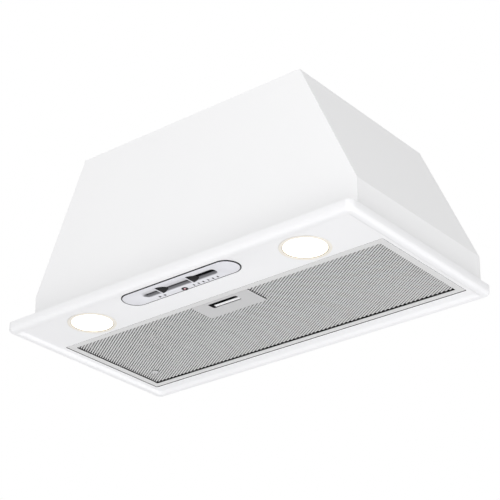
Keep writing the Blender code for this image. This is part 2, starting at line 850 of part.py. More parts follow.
def make_filter():
    axis = bpy.data.objects.new("filter_axis", None)
    axis.location = (0, hinge_y, hinge_z)
    bpy.context.collection.objects.link(axis)
    pieces = [make_filter_frame(), *make_filter_layers(), *make_hinge_pins(), *make_latch()]
    for piece in pieces:
        tools = [modifier.object for modifier in piece.modifiers if modifier.type == "BOOLEAN"]
        for carried in (piece, *tools):
            carried.parent = axis
            carried.location = carried.location - axis.location


# ---- lamps

def make_lamps():
    outer = lamp_view_radius + lamp_lip + lamp_wall
    inner = lamp_view_radius + lamp_lip
    low = lamp_flange_bottom
    seat = low + lamp_flange_sheet
    top = seat + lamp_barrel
    profile = [(lamp_view_radius, low), (outer + lamp_flange, low), (outer + lamp_flange, seat)]
    profile += [(outer, seat), (outer, top), (inner, top), (inner, seat), (lamp_view_radius, seat)]
    bezel = turned(profile, (0, 0, 0), 32, closed=True)
    lens_low = seat + gap
    lens_high = lens_low + lens_thickness
    lens = cylinder(inner - gap, lens_low, lens_high, (0, 0, 0), 32)
    module_low, module_high = lens_high + gap, skin_bottom - gap
    edge = module_edge
    module_profile = [(inner - gap - edge, module_low), (inner - gap, module_low + edge)]
    module_profile += [(inner - gap, module_high - edge), (inner - gap - edge, module_high)]
    module = turned(module_profile, (0, 0, 0), 32)
    shapes = {
        "lamp_bezel": (bezel, lamp_trim),
        "lamp_lens": (lens, lamp_glass),
        "lamp_module": (module, dark_plastic),
    }
    for name, (shape, material) in shapes.items():
        first = add_object(f"{name}_left", shape, material, smooth=True)
        first.location = (-lamp_x, lamp_y, 0)
        copy_at(first, f"{name}_right", (lamp_x, lamp_y, 0))


# ---- control panel

def make_fascia():
    base_x = panel_length / 2 + panel_margin_x
    base_y = panel_width / 2 + panel_margin_y
    base = box(
        (panel_x - base_x, panel_y - base_y, panel_base_bottom),
        (panel_x + base_x, panel_y + base_y, panel_base_top))
    fascia = add_object("control_fascia", base, silver_plastic, smooth=True)
    face = stadium(panel_length / 2 - gap, panel_width / 2 - gap, (panel_x, panel_y))
    boss = prism(face, panel_face, panel_base_bottom + panel_base / 2)
    join(fascia, [boss], "face")
    posts = []
    root = panel_base_top - panel_base / 2
    for x in board_ends(post_radius + post_end_inset):
        for y in board_sides(post_radius + post_side_inset):
            posts.append(cylinder(post_radius, root, board_bottom - gap, (x, y, 0), 12))
    join(fascia, posts, "posts")
    through = (panel_face - cut_over, panel_base_top + cut_over)
    holes = [prism(stadium(slot_length / 2, slot_width / 2, (slot_x, panel_y)), *through)]
    holes.append(cylinder(pilot_radius + gap, *through, (pilot_x, pilot_y, 0), 16))
    for _, x, y in panel_screw_places():
        holes.append(cylinder(small_screw_radius + gap, *through, (x, y, 0), 12))
    cut(fascia, holes, "holes")
    return fascia


def board_ends(inset):
    half = slot_length / 2 + board_margin_x
    return slot_x - half + inset, slot_x + half - inset


def board_sides(inset):
    half = slot_width / 2 + board_margin_y
    return panel_y - half + inset, panel_y + half - inset


def make_slider(name, x):
    """Knob with a finger ridge that goes through the slot, on a wider base behind the panel."""
    stem_x, stem_y = knob_length / 2, slot_width / 2 - gap
    base_x, base_y = stem_x + slider_margin, slot_width / 2 + slider_base_cover
    sections = [
        (knob_ridge / 2, stem_y * 0.8, panel_face - knob_proud),
        (stem_x, stem_y, panel_face + knob_proud),
        (stem_x, stem_y, slider_bottom),
        (base_x, base_y, slider_bottom),
        (base_x, base_y, slider_top),
    ]
    corners = ((1, 1), (-1, 1), (-1, -1), (1, -1))
    loops = [[(half_x * i, half_y * j, z - panel_face) for i, j in corners] for half_x, half_y, z in sections]
    slider = add_object(name, loft(loops), knob_plastic)
    slider.location = (x, panel_y, panel_face)
    return slider


def make_switch(name, knob_x, reach_low, reach_high):
    half_y = slot_width / 2 - switch_side_inset
    low = knob_x + reach_low - knob_length
    high = knob_x + reach_high + knob_length
    body = box((low, panel_y - half_y, switch_bottom), (high, panel_y + half_y, switch_top))
    return add_object(name, body, dark_plastic)


def make_controls():
    make_fascia()
    make_slider("light_slider", light_knob_x)
    make_slider("speed_slider", speed_knob_x)
    make_switch("light_switch", light_knob_x, -light_travel, 0)
    make_switch("speed_switch", speed_knob_x, 0, speed_travel)
    low_x, high_x = board_ends(0)
    low_y, high_y = board_sides(0)
    board = box((low_x, low_y, board_bottom), (high_x, high_y, board_top))
    add_object("switch_board", board, board_green)
    pilot = cylinder(pilot_radius, panel_face - gap, board_bottom - gap, (0, 0, 0), 16)
    lens = add_object("pilot_lens", pilot, red_lens, smooth=True)
    lens.location = (pilot_x, pilot_y, 0)


# ---- outlet collar and flaps

def make_collar():
    inner = collar_radius - collar_wall
    flange_top = collar_bottom + collar_flange_sheet
    ledge_top = flap_axis_z - flap_bead_radius - gap
    ledge_bottom = ledge_top - flap_ledge_sheet
    profile = [
        (inner, collar_bottom), (collar_radius + collar_flange, collar_bottom),
        (collar_radius + collar_flange, flange_top), (collar_radius, flange_top),
        (collar_radius, collar_top), (inner, collar_top), (inner, ledge_top),
        (inner - flap_ledge, ledge_top), (inner - flap_ledge, ledge_bottom), (inner, ledge_bottom),
    ]
    tube = turned(profile, (0, collar_y, 0), 40, closed=True)
    collar = add_object("outlet_collar", tube, dark_plastic, smooth=True)
    reach = collar_radius + cut_over
    holes = []
    for side in (-1, 1):
        axis = (side * flap_axis_x, collar_y, flap_axis_z)
        holes.append(cylinder(flap_stub_radius + gap, -reach, reach, axis, 12, "Y"))
    for _, x, y in collar_screw_places():
        ends = (collar_bottom - cut_over, flange_top + cut_over)
        holes.append(cylinder(screw_radius + gap, *ends, (x, y, 0), 12))
    cut(collar, holes, "holes")


def make_flap(name, side):
    """Half disc with a bead along its straight edge and a stub at each end in the collar's wall.

    It is built about its own hinge axis, which runs through the bead.
    """
    radius = collar_radius - collar_wall - flap_rim_play
    start = math.acos(flap_axis_x / radius)
    steps = 16
    outline = []
    for step in range(steps + 1):
        angle = -start + 2 * start * step / steps
        outline.append((side * (radius * math.cos(angle) - flap_axis_x), radius * math.sin(angle)))
    low = flap_plate_rise - flap_bead_radius
    flap = add_object(name, prism(outline, low, low + flap_sheet), dark_plastic, smooth=True)
    bead_reach = flap_axis_x + flap_bead_radius
    half_bead = math.sqrt((collar_radius - collar_wall) ** 2 - bead_reach ** 2) - flap_rim_play
    half_stub = math.sqrt(collar_radius ** 2 - flap_axis_x ** 2) - flap_stub_play
    join(flap, [cylinder(flap_bead_radius, -half_bead, half_bead, (0, 0, 0), 16, "Y")], "bead")
    join(flap, [cylinder(flap_stub_radius, -half_stub, half_stub, (0, 0, 0), 12, "Y")], "stub")
    for carried in (flap, *[modifier.object for modifier in flap.modifiers]):
        carried.location = (side * flap_axis_x, collar_y, flap_axis_z)
    return flap


def make_outlet():
    make_collar()
    make_flap("flap_left", -1)
    make_flap("flap_right", 1)


# ---- blower

def scroll_outline(offset, top):
    """Spiral and throat in YZ, moved outwards by an offset and ending at a height."""
    steps = 22
    first = math.acos((throat_front - offset - blower_y) / (scroll_start + offset))
    points = [(throat_back + offset, top), (throat_front - offset, top)]
    for step in range(steps + 1):
        share = step / steps
        angle = first + (2 * math.pi - first) * share
        radius = scroll_start + (scroll_end - scroll_start) * share + offset
        points.append((blower_y + radius * math.cos(angle), blower_z + radius * math.sin(angle)))
    return points


def make_scroll_half(name, side):
    """Half of the blower housing: side wall with its inlet, half of the spiral wall and of the top flange."""
    near, far = side * gap / 2, side * scroll_outside
    outer = prism(scroll_outline(scroll_wall, under_top - scroll_flange_sheet / 2), *sorted((near, far)), "X")
    half = add_object(name, outer, dark_plastic)
    reach = scroll_flange_half
    ends = sorted((near, side * reach))
    flange = box(
        (ends[0], collar_y - reach, under_top - scroll_flange_sheet),
        (ends[1], collar_y + reach, under_top))
    join(half, [flange], "flange")
    hollow = sorted((-side * cut_over, side * scroll_half_width))
    cut(half, [prism(scroll_outline(0, under_top + cut_over), *hollow, "X")], "hollow")
    wall = sorted((side * (scroll_half_width - cut_over), side * (scroll_outside + cut_over)))
    holes = [cylinder(inlet_radius, *wall, (0, blower_y, blower_z), 32, "X")]
    for _, x, y in collar_screw_places():
        if x * side > 0:
            low = under_top - scroll_flange_sheet - cut_over
            holes.append(cylinder(screw_radius + gap, low, under_top + cut_over, (x, y, 0), 12))
    if side < 0:
        for y, z in guard_screw_places():
            holes.append(cylinder(screw_radius + gap, *wall, (0, y, z), 12, "X"))
    cut(half, holes, "holes")
    return half


def guard_screw_places():
    """Three screw places on the inlet ring, halfway between the arms."""
    ring = inlet_radius + guard_land + guard_ring / 2
    angles = [math.radians(degrees) for degrees in (30, 150, 270)]
    return [(blower_y + ring * math.cos(a), blower_z + ring * math.sin(a)) for a in angles]


def arm_box(angle, start, end, low, high):
    """Straight arm in the YZ plane from one radius to another, between two places along X."""
    along = Vector((math.cos(angle), math.sin(angle)))
    across = Vector((-along.y, along.x)) * guard_arm / 2
    middle = Vector((blower_y, blower_z))
    corners = [middle + along * start + across, middle + along * end + across]
    corners += [middle + along * end - across, middle + along * start - across]
    return prism([tuple(corner) for corner in corners], *sorted((low, high)), "X")


def make_spider(name, side, hub_profile, hub_closed, arm_start, material):
    """Ring on the scroll's side wall with three arms to a hub."""
    seat = side * (scroll_outside + gap)
    outer = side * (scroll_outside + gap + guard_sheet)
    inner_radius = inlet_radius + guard_land
    outer_radius = inner_radius + guard_ring
    center = (0, blower_y, blower_z)
    profile = [(inner_radius, seat), (outer_radius, seat), (outer_radius, outer), (inner_radius, outer)]
    spider = add_object(name, turned(profile, center, 32, "X", closed=True), material, smooth=True)
    inset = side * arm_inset
    end = inner_radius + guard_ring / 2
    arms = [arm_box(math.radians(a), arm_start, end, seat + inset, outer - inset) for a in (90, 210, 330)]
    join(spider, arms, "arms")
    join(spider, [turned(hub_profile, center, 32, "X", closed=hub_closed)], "hub")
    return spider


def make_blower():
    make_scroll_half("scroll_left", -1)
    make_scroll_half("scroll_right", 1)
    center = (0, blower_y, blower_z)
    blade_root = impeller_radius - impeller_ring
    bore = shaft_radius + gap
    hub_low, hub_high = -hub_left, hub_right
    disc = impeller_disc / 2
    width = impeller_half_width
    profile = [
        (bore, hub_low), (hub_radius, hub_low), (hub_radius, -disc), (blade_root, -disc),
        (blade_root, -width), (impeller_radius, -width), (impeller_radius, width),
        (blade_root, width), (blade_root, disc),
        (hub_radius, disc), (hub_radius, hub_high), (bore, hub_high),
    ]
    blank = turned(profile, (0, 0, 0), 36, "X", closed=True)
    wheel = add_object("impeller", blank, dark_plastic, smooth=True)
    slots = []
    pitch = 2 * math.pi / blade_count
    middle = impeller_radius - impeller_ring / 2
    half_slot = middle * pitch * 0.36
    for step in range(blade_count):
        turn = Matrix.Rotation(step * pitch, 2)
        lean = Matrix.Rotation(math.radians(blade_lean), 2)
        corners = [(-impeller_ring, -half_slot), (impeller_ring, -half_slot)]
        corners += [(impeller_ring, half_slot), (-impeller_ring, half_slot)]
        outline = [tuple(turn @ (Vector((middle, 0)) + lean @ Vector(corner))) for corner in corners]
        near, far = disc + blade_end, width - impeller_rim
        for low, high in ((-far, -near), (near, far)):
            slots.append(prism(outline, low, high, "X"))
    tool = cut(wheel, slots, "slots")
    for carried in (wheel, tool):
        carried.location = center

    motor_face = motor_inner_end + motor_boss_length
    shaft_seat = motor_outer_end + motor_shaft_seat
    shaft = cylinder(shaft_radius, shaft_seat + gap, hub_high + shaft_end, (0, 0, 0), 16, "X")
    add_object("motor_shaft", shaft, zinc_steel, smooth=True).location = center

    edge = motor_edge
    boss = hub_radius + motor_boss_wall
    body = [
        (motor_radius - edge, motor_outer_end), (motor_radius, motor_outer_end + edge),
        (motor_radius, motor_inner_end - edge), (motor_radius - edge, motor_inner_end),
        (boss, motor_inner_end), (boss, motor_face), (bore, motor_face), (bore, shaft_seat),
    ]
    motor = add_object("motor_body", turned(body, (0, 0, 0), 28, "X"), motor_grey, smooth=True)
    motor.location = center

    seat = scroll_outside + gap
    clamp = [(motor_radius + gap, -seat), (motor_radius + clamp_wall, -seat)]
    clamp_end = -seat - clamp_length
    clamp += [(motor_radius + clamp_wall, clamp_end), (motor_radius + gap, clamp_end)]
    bracket = make_spider("motor_bracket", -1, clamp, True, motor_radius + clamp_wall * 0.6, zinc_steel)
    holes = []
    outside = -seat - guard_sheet - cut_over
    for y, z in guard_screw_places():
        holes.append(cylinder(screw_radius + gap, outside, -seat + cut_over, (0, y, z), 12, "X"))
    cut(bracket, holes, "holes")
    hub = [(guard_hub, seat), (guard_hub, seat + guard_sheet)]
    make_spider("inlet_guard", 1, hub, False, guard_hub * 0.6, dark_plastic)


# ---- electrical parts

def make_electrical():
    x, y = terminal_x, terminal_y
    half_x, half_y = terminal_length / 2, terminal_depth / 2
    top, low = under_top, under_top - terminal_height
    outside = box((x - half_x, y - half_y, low), (x + half_x, y + half_y, top))
    case = add_object("terminal_box", outside, dark_plastic)
    wall = terminal_wall
    room = box(
        (x - half_x + wall, y - half_y + wall, low - cut_over),
        (x + half_x - wall, y + half_y - wall, top - wall))
    cut(case, [room], "room")
    cut(case, [cylinder(gland_radius + gap, top - wall - cut_over, top + cut_over, (x, y, 0), 20)], "hole")
    lid_top = low - gap
    lid = box((x - half_x, y - half_y, lid_top - wall), (x + half_x, y + half_y, lid_top))
    add_object("terminal_lid", lid, dark_plastic)
    block_top = top - wall - gap
    block_y = y - block_offset
    block = box(
        (x - block_length / 2, block_y - block_depth / 2, block_top - block_height),
        (x + block_length / 2, block_y + block_depth / 2, block_top))
    add_object("terminal_block", block, white_frame)
    head = casing_top_z + gap
    profile = [
        (gland_bore, top - gland_root), (gland_radius, top - gland_root),
        (gland_radius, head), (gland_head, head),
        (gland_head, head + gland_nut), (gland_radius + gland_neck, head + gland_cone),
        (gland_radius + gland_neck, head + gland_height), (gland_bore, head + gland_height),
    ]
    gland = add_object("cable_gland", turned(profile, (0, 0, 0), 18, closed=True), dark_plastic, smooth=True)
    gland.location = (x, y, 0)

    ring = capacitor_radius + gap
    base_bottom = under_top - clip_base_sheet
    center_z = base_bottom - ring - clip_sink
    center = (capacitor_x, capacitor_y, center_z)
    can = cylinder(capacitor_radius, -capacitor_length / 2, capacitor_length / 2, (0, 0, 0), 24, "Y")
    add_object("capacitor", can, motor_grey, smooth=True).location = center
    half = clip_width / 2
    base = box(
        (capacitor_x - clip_base_width / 2, capacitor_y - half - clip_base_cover, base_bottom),
        (capacitor_x + clip_base_width / 2, capacitor_y + half + clip_base_cover, under_top))
    clip = add_object("capacitor_clip", base, zinc_steel)
    join(clip, [cylinder(ring + clip_wall, -half, half, center, 24, "Y")], "ring")
    over = half + clip_base_cover + cut_over
    cut(clip, [cylinder(ring, -over, over, center, 24, "Y")], "bore")


# ---- screws

def make_screws():
    foot_seat = casing_foot_z + sheet
    for name, x, y in foot_places():
        screw(name, x, y, foot_bore_bottom + screw_end_room, foot_seat, zinc_steel)
    for side, x, y in panel_screw_places():
        tip = panel_bore_bottom + panel_bore_room
        screw(f"panel_screw_{side}", x, y, tip, panel_base_top, zinc_steel, small=True)
    collar_seat = collar_bottom + collar_flange_sheet
    for label, x, y in collar_screw_places():
        screw(f"collar_screw_{label}", x, y, under_top - collar_screw_depth, collar_seat, zinc_steel)
    seat = -(scroll_outside + gap + guard_sheet)
    motor_tip = -scroll_half_width - motor_screw_depth
    for number, (y, z) in enumerate(guard_screw_places(), 1):
        screw(f"motor_screw_{number}", y, z, motor_tip, seat, zinc_steel, axis="X")


make_bottom_frame()
make_end_panel("casing_front", casing_front_y, 1, front_foot_x)
make_end_panel("casing_rear", casing_rear_y, -1, rear_foot_x)
make_side_panel("casing_left", -1)
make_side_panel("casing_right", 1)
make_casing_top()
make_filter()
make_lamps()
make_controls()
make_outlet()
make_blower()
make_electrical()
make_screws()
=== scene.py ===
import math

import bmesh
import bpy
from mathutils import Matrix, Vector


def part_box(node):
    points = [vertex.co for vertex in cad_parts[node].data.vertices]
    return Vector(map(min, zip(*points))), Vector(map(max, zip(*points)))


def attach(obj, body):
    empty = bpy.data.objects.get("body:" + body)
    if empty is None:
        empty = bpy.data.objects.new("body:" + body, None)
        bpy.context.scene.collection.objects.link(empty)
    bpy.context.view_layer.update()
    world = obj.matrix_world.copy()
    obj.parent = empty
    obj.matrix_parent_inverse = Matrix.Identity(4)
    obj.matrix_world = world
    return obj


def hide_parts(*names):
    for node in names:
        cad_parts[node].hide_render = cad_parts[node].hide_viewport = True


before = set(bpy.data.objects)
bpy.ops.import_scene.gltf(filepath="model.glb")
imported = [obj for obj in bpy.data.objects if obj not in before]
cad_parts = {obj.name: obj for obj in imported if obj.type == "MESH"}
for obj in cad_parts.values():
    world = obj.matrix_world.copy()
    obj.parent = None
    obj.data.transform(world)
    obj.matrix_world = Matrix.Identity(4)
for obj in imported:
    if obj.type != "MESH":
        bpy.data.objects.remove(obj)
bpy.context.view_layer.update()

mm = 0.001
smoothAngle = math.radians(35)
grainDepth = 0.2 * mm
over = 1.0  # how far a cutter passes the surface that it cuts, in millimetres


# Node trees are written through two small classes.

class Wire:
    # A socket whose arithmetic adds Math nodes to its tree.
    def __init__(self, net, socket):
        self.net = net
        self.socket = socket

    def math(self, operation, *others):
        return self.net.wire("ShaderNodeMath", {"operation": operation}, dict(enumerate((self, *others))))

    def __add__(self, other):
        return self.math("ADD", other)

    __radd__ = __add__

    def __sub__(self, other):
        return self.math("SUBTRACT", other)

    def __mul__(self, other):
        return self.math("MULTIPLY", other)

    def __truediv__(self, other):
        return self.math("DIVIDE", other)

    def __gt__(self, other):
        return self.math("GREATER_THAN", other)

    def __lt__(self, other):
        return self.math("LESS_THAN", other)


class Net:
    # One node tree and the one way to add a node to it.
    def __init__(self, tree):
        self.tree = tree

    def node(self, kind, settings=None, inputs=None):
        made = self.tree.nodes.new(kind)
        for name, value in (settings or {}).items():
            if name == "stops":
                ramp = made.color_ramp
                for place, (at, colour) in enumerate(value):
                    stop = ramp.elements[place] if place < 2 else ramp.elements.new(at)
                    stop.position, stop.color = at, (*colour, 1)
            else:
                setattr(made, name, value)
        for key, value in (inputs or {}).items():
            if isinstance(value, Wire):
                self.tree.links.new(value.socket, made.inputs[key])
            else:
                made.inputs[key].default_value = value
        return made

    def wire(self, kind, settings=None, inputs=None, out=0):
        return Wire(self, self.node(kind, settings, inputs).outputs[out])


def blendColours(net, share, first, second, way="MIX"):
    settings = {"data_type": "RGBA", "blend_type": way}
    return net.wire("ShaderNodeMix", settings, {0: share, 6: first, 7: second}, 2)


def spread(net, value, low, high):
    return net.wire("ShaderNodeMapRange", {"clamp": True}, {"Value": value, "To Min": low, "To Max": high})


def noise(net, scale, detail=3.0, stretch=(1, 1, 1)):
    place = net.wire("ShaderNodeTexCoord", out="Object")
    place = net.wire("ShaderNodeMapping", {}, {"Vector": place, "Scale": stretch})
    return net.wire("ShaderNodeTexNoise", {}, {"Vector": place, "Scale": scale, "Detail": detail})


def lift(net, height, strength, distance):
    return net.wire("ShaderNodeBump", {}, {"Height": height, "Strength": strength, "Distance": distance})


# Finishes: one material for each look, all of them procedural.

def startFinish(name, plain):
    material = bpy.data.materials.new(name)
    material.use_nodes = True
    net = Net(material.node_tree)
    material.node_tree.nodes.clear()
    shader = net.node("ShaderNodeBsdfPrincipled", {}, plain)
    output = net.node("ShaderNodeOutputMaterial")
    net.tree.links.new(shader.outputs[0], output.inputs["Surface"])
    return material, net, shader


def feed(net, shader, **sockets):
    names = {"colour": "Base Color", "roughness": "Roughness", "normal": "Normal", "glow": "Emission Color"}
    for key, wire in sockets.items():
        net.tree.links.new(wire.socket, shader.inputs[names[key]])


def paintFinish(name, look):
    # Stoved paint: faint cloudiness, orange peel and a few duller patches.
    plain = {"Coat Weight": look["coat"], "Coat Roughness": 0.2, "IOR": 1.47}
    material, net, shader = startFinish(name, plain)
    cloud = noise(net, look["cloudScale"], 4)
    peel = noise(net, look["peelScale"], 2)
    colour = blendColours(net, spread(net, cloud, 0, 1), (*look["shade"], 1), (*look["colour"], 1))
    rough = spread(net, cloud, look["rough"] - 0.04, look["rough"] + 0.05)
    feed(net, shader, colour=colour, roughness=rough, normal=lift(net, peel, look["peel"], 0.0003))
    return material


def metalFinish(name, look):
    # Drawn or brushed metal: long fine lines with soft tarnish under them.
    material, net, shader = startFinish(name, {"Metallic": 1.0})
    lines = noise(net, look["lineScale"], 2, look["stretch"])
    stain = noise(net, look["stainScale"], 5)
    tone = blendColours(net, lines, (*look["dark"], 1), (*look["light"], 1))
    colour = blendColours(net, spread(net, stain, 0, look["stain"]), tone, (*look["tarnish"], 1))
    rough = spread(net, lines, look["rough"] - 0.07, look["rough"] + 0.1)
    feed(net, shader, colour=colour, roughness=rough, normal=lift(net, lines, look["lift"], grainDepth))
    return material


def plasticFinish(name, look):
    # Moulded plastic: spark-eroded grain, light bloom.
    material, net, shader = startFinish(name, {"IOR": look.get("index", 1.5)})
    grain = noise(net, look["grainScale"], 2)
    bloom = noise(net, 35, 4)
    colour = blendColours(net, spread(net, bloom, 0, 1), (*look["shade"], 1), (*look["colour"], 1))
    colour = blendColours(net, spread(net, grain, 0, look["fleck"]), colour, (*look["colour"], 1))
    rough = spread(net, bloom, look["rough"] - 0.05, look["rough"] + 0.07)
    feed(net, shader, colour=colour, roughness=rough, normal=lift(net, grain, look["grain"], grainDepth))
    return material


def scoopShadeFinish(name, look):
    # Silver plastic whose scoop is darkened towards near-black with depth, most on its rear wall: painted
    # shade.
    material, net, shader = startFinish(name, {"IOR": 1.5, "Coat Weight": 0.1, "Coat Roughness": 0.25})
    grain = noise(net, look["grainScale"], 2)
    bloom = noise(net, 35, 4)
    place = net.node("ShaderNodeSeparateXYZ", {}, {0: net.wire("ShaderNodeTexCoord", out="Object")})
    y, z = Wire(net, place.outputs[1]), Wire(net, place.outputs[2])
    shadeDepth = net.wire("ShaderNodeMapRange", {"interpolation_type": "SMOOTHSTEP"}, {
        "Value": z, "From Min": look["faceZ"], "From Max": look["floorZ"]})
    behind = net.wire("ShaderNodeMapRange", {"interpolation_type": "SMOOTHSTEP"}, {
        "Value": y, "From Min": look["frontY"], "From Max": look["rearY"]})
    colour = blendColours(net, spread(net, bloom, 0, 1), (*look["shade"], 1), (*look["colour"], 1))
    # painted shade: deeper in the scoop and nearer its rear, the colour goes to near-black
    colour = blendColours(net, shadeDepth * (behind * 0.75 + 0.15), colour, (*look["deep"], 1))
    rough = spread(net, bloom, look["rough"] - 0.05, look["rough"] + 0.07)
    feed(net, shader, colour=colour, roughness=rough, normal=lift(net, grain, look["grain"], grainDepth))
    return material


def zincFinish(name, look):
    # Zinc on steel: spangles of slightly different grey.
    material, net, shader = startFinish(name, {"Metallic": 1.0})
    place = net.wire("ShaderNodeTexCoord", out="Object")
    cells = net.wire("ShaderNodeTexVoronoi", {}, {"Vector": place, "Scale": look["spangleScale"]}, "Color")
    tone = net.wire("ShaderNodeSeparateColor", {}, {0: cells})
    colour = blendColours(net, tone, (*look["dark"], 1), (*look["light"], 1))
    rough = spread(net, tone, look["rough"] - 0.08, look["rough"] + 0.1)
    fine = noise(net, 900, 2)
    feed(net, shader, colour=colour, roughness=rough, normal=lift(net, fine, 0.1, grainDepth))
    return material


def lensFinish(name, look):
    # Lit frosted glass: brightest over the middle, warmer towards its rim.
    plain = {"Emission Strength": look["strength"], "IOR": 1.45, "Specular IOR Level": 0.3}
    material, net, shader = startFinish(name, plain)
    place = net.wire("ShaderNodeTexCoord", out="Object")
    flat = net.node("ShaderNodeSeparateXYZ", {}, {0: place})
    x, y = Wire(net, flat.outputs[0]), Wire(net, flat.outputs[1])
    away = x.math("ABSOLUTE") - look["x"]
    down = y - look["y"]
    radius = (away * away + down * down).math("SQRT") / look["radius"]
    frost = noise(net, 700, 2)
    rim = net.wire("ShaderNodeMapRange", {"interpolation_type": "SMOOTHSTEP"}, {
        "Value": radius + frost * 0.04, "From Min": look["warmFrom"], "From Max": 1.02})
    glow = blendColours(net, rim, (*look["middle"], 1), (*look["rim"], 1))
    colour = blendColours(net, rim, (*look["middle"], 1), (*look["rim"], 1), "MULTIPLY")
    rough = spread(net, frost, look["rough"] - 0.08, look["rough"] + 0.08)
    feed(net, shader, colour=colour, glow=glow, roughness=rough, normal=lift(net, frost, 0.15, grainDepth))
    return material


def boardFinish(name, look):
    # Circuit board: solder resist over copper tracks that run along X.
    material, net, shader = startFinish(name, {"Coat Weight": 0.4, "Coat Roughness": 0.15})
    place = net.wire("ShaderNodeTexCoord", out="Object")
    tracks = net.wire("ShaderNodeTexWave", {"bands_direction": "Y"}, {
        "Vector": place, "Scale": look["trackScale"], "Distortion": 1.5, "Detail Scale": 1.0})
    colour = blendColours(net, tracks > 0.6, (*look["colour"], 1), (*look["track"], 1))
    rough = spread(net, noise(net, 400), 0.3, 0.45)
    feed(net, shader, colour=colour, roughness=rough, normal=lift(net, tracks, 0.3, 0.0001))
    return material


looks = {
    "whitePaint": (paintFinish, "white_paint", {
        "colour": (0.93, 0.93, 0.935), "shade": (0.915, 0.915, 0.922), "rough": 0.42, "coat": 0.15,
        "cloudScale": 14, "peelScale": 900, "peel": 0.08}),
    "whiteFrame": (paintFinish, "white_frame", {
        "colour": (0.925, 0.925, 0.935), "shade": (0.905, 0.905, 0.92), "rough": 0.4, "coat": 0.1,
        "cloudScale": 18, "peelScale": 1100, "peel": 0.06}),
    "filterMetal": (metalFinish, "filter_metal", {
        "light": (0.94, 0.94, 0.945), "dark": (0.84, 0.84, 0.845), "tarnish": (0.8, 0.79, 0.77),
        "stain": 0.3, "rough": 0.4, "lineScale": 260, "stretch": (1, 6, 6), "stainScale": 40, "lift": 0.15}),
    # near-black metal for the filter pack behind the strands: painted shade for the depth between them
    "innerMesh": (metalFinish, "filter_metal", {
        "light": (0.1, 0.098, 0.096), "dark": (0.04, 0.039, 0.038), "tarnish": (0.055, 0.052, 0.05),
        "stain": 0.4, "rough": 0.5, "lineScale": 420, "stretch": (1, 3, 1), "stainScale": 90, "lift": 0.5}),
    "satinMetal": (metalFinish, "satin_metal", {
        "light": (0.8, 0.8, 0.81), "dark": (0.7, 0.7, 0.71), "tarnish": (0.68, 0.67, 0.65), "stain": 0.25,
        "rough": 0.42, "lineScale": 300, "stretch": (1, 12, 12), "stainScale": 30, "lift": 0.12}),
    # the fascia's silver plastic, with painted shade inside the scoop
    "silverPlastic": (scoopShadeFinish, "silver_plastic", {
        "colour": (0.82, 0.82, 0.86), "shade": (0.78, 0.78, 0.825), "deep": (0.06, 0.06, 0.068),
        "rough": 0.36, "faceZ": 3.3 * mm, "floorZ": 4.6 * mm, "frontY": -112 * mm, "rearY": -107 * mm,
        "grainScale": 1500, "grain": 0.06, "fleck": 0.5}),
    "knobPlastic": (plasticFinish, "knob_plastic", {
        "colour": (0.78, 0.78, 0.82), "shade": (0.72, 0.72, 0.76), "rough": 0.35,
        "grainScale": 1200, "grain": 0.08, "fleck": 0.3}),
    "lampTrim": (plasticFinish, "lamp_trim", {
        "colour": (0.9, 0.86, 0.79), "shade": (0.86, 0.815, 0.73), "rough": 0.3,
        "grainScale": 900, "grain": 0.05, "fleck": 0.3}),
    "lampGlass": (lensFinish, "lamp_glass", {
        "x": 162.2 * mm, "y": -92.3 * mm, "radius": 26.4 * mm, "warmFrom": 0.82, "strength": 1.0,
        "middle": (1.0, 0.995, 0.96), "rim": (0.99, 0.92, 0.8), "rough": 0.35}),
    "redLens": (lensFinish, "red_lens", {
        "x": 10.5 * mm, "y": -95.5 * mm, "radius": 2.0 * mm, "warmFrom": 0.3, "strength": 0.6,
        "middle": (0.85, 0.5, 0.55), "rim": (0.35, 0.04, 0.08), "rough": 0.25}),
    # brown ring at the lens's edge: painted shade with a warm cast
    "lampSeal": (plasticFinish, "lamp_trim", {
        "colour": (0.3, 0.27, 0.22), "shade": (0.24, 0.21, 0.17), "rough": 0.5,
        "grainScale": 900, "grain": 0.05, "fleck": 0.3}),
    "darkPlastic": (plasticFinish, "dark_plastic", {
        "colour": (0.035, 0.035, 0.04), "shade": (0.022, 0.022, 0.025), "rough": 0.5,
        "grainScale": 1000, "grain": 0.2, "fleck": 0.4}),
    "rivetGrey": (plasticFinish, "satin_metal", {
        "colour": (0.62, 0.62, 0.63), "shade": (0.58, 0.58, 0.59), "rough": 0.45,
        "grainScale": 900, "grain": 0.05, "fleck": 0.3}),
    # near-black plastic of low reflection: for real black parts, and for pieces that stand in for shade
    # (painted shade)
    "inkPlastic": (plasticFinish, "dark_plastic", {
        "colour": (0.011, 0.011, 0.012), "shade": (0.007, 0.007, 0.008), "rough": 0.42, "index": 1.22,
        "grainScale": 1000, "grain": 0.15, "fleck": 0.4}),
    "boardGreen": (boardFinish, "board_green", {
        "colour": (0.03, 0.16, 0.07), "track": (0.06, 0.26, 0.1), "trackScale": 160}),
    "zincSteel": (zincFinish, "zinc_steel", {
        "light": (0.68, 0.68, 0.69), "dark": (0.52, 0.52, 0.53), "rough": 0.36, "spangleScale": 260}),
    "motorGrey": (metalFinish, "motor_grey", {
        "light": (0.4, 0.41, 0.43), "dark": (0.3, 0.31, 0.33), "tarnish": (0.27, 0.26, 0.25), "stain": 0.3,
        "rough": 0.42, "lineScale": 350, "stretch": (4, 1, 1), "stainScale": 50, "lift": 0.2}),
}
finishes = {name: (make(name, look), slot) for name, (make, slot, look) in looks.items()}
print("finishes made:", len(finishes))


# Mesh helpers.

def link(name, mesh):
    piece = bpy.data.objects.new(name, mesh)
    bpy.context.scene.collection.objects.link(piece)
    return piece


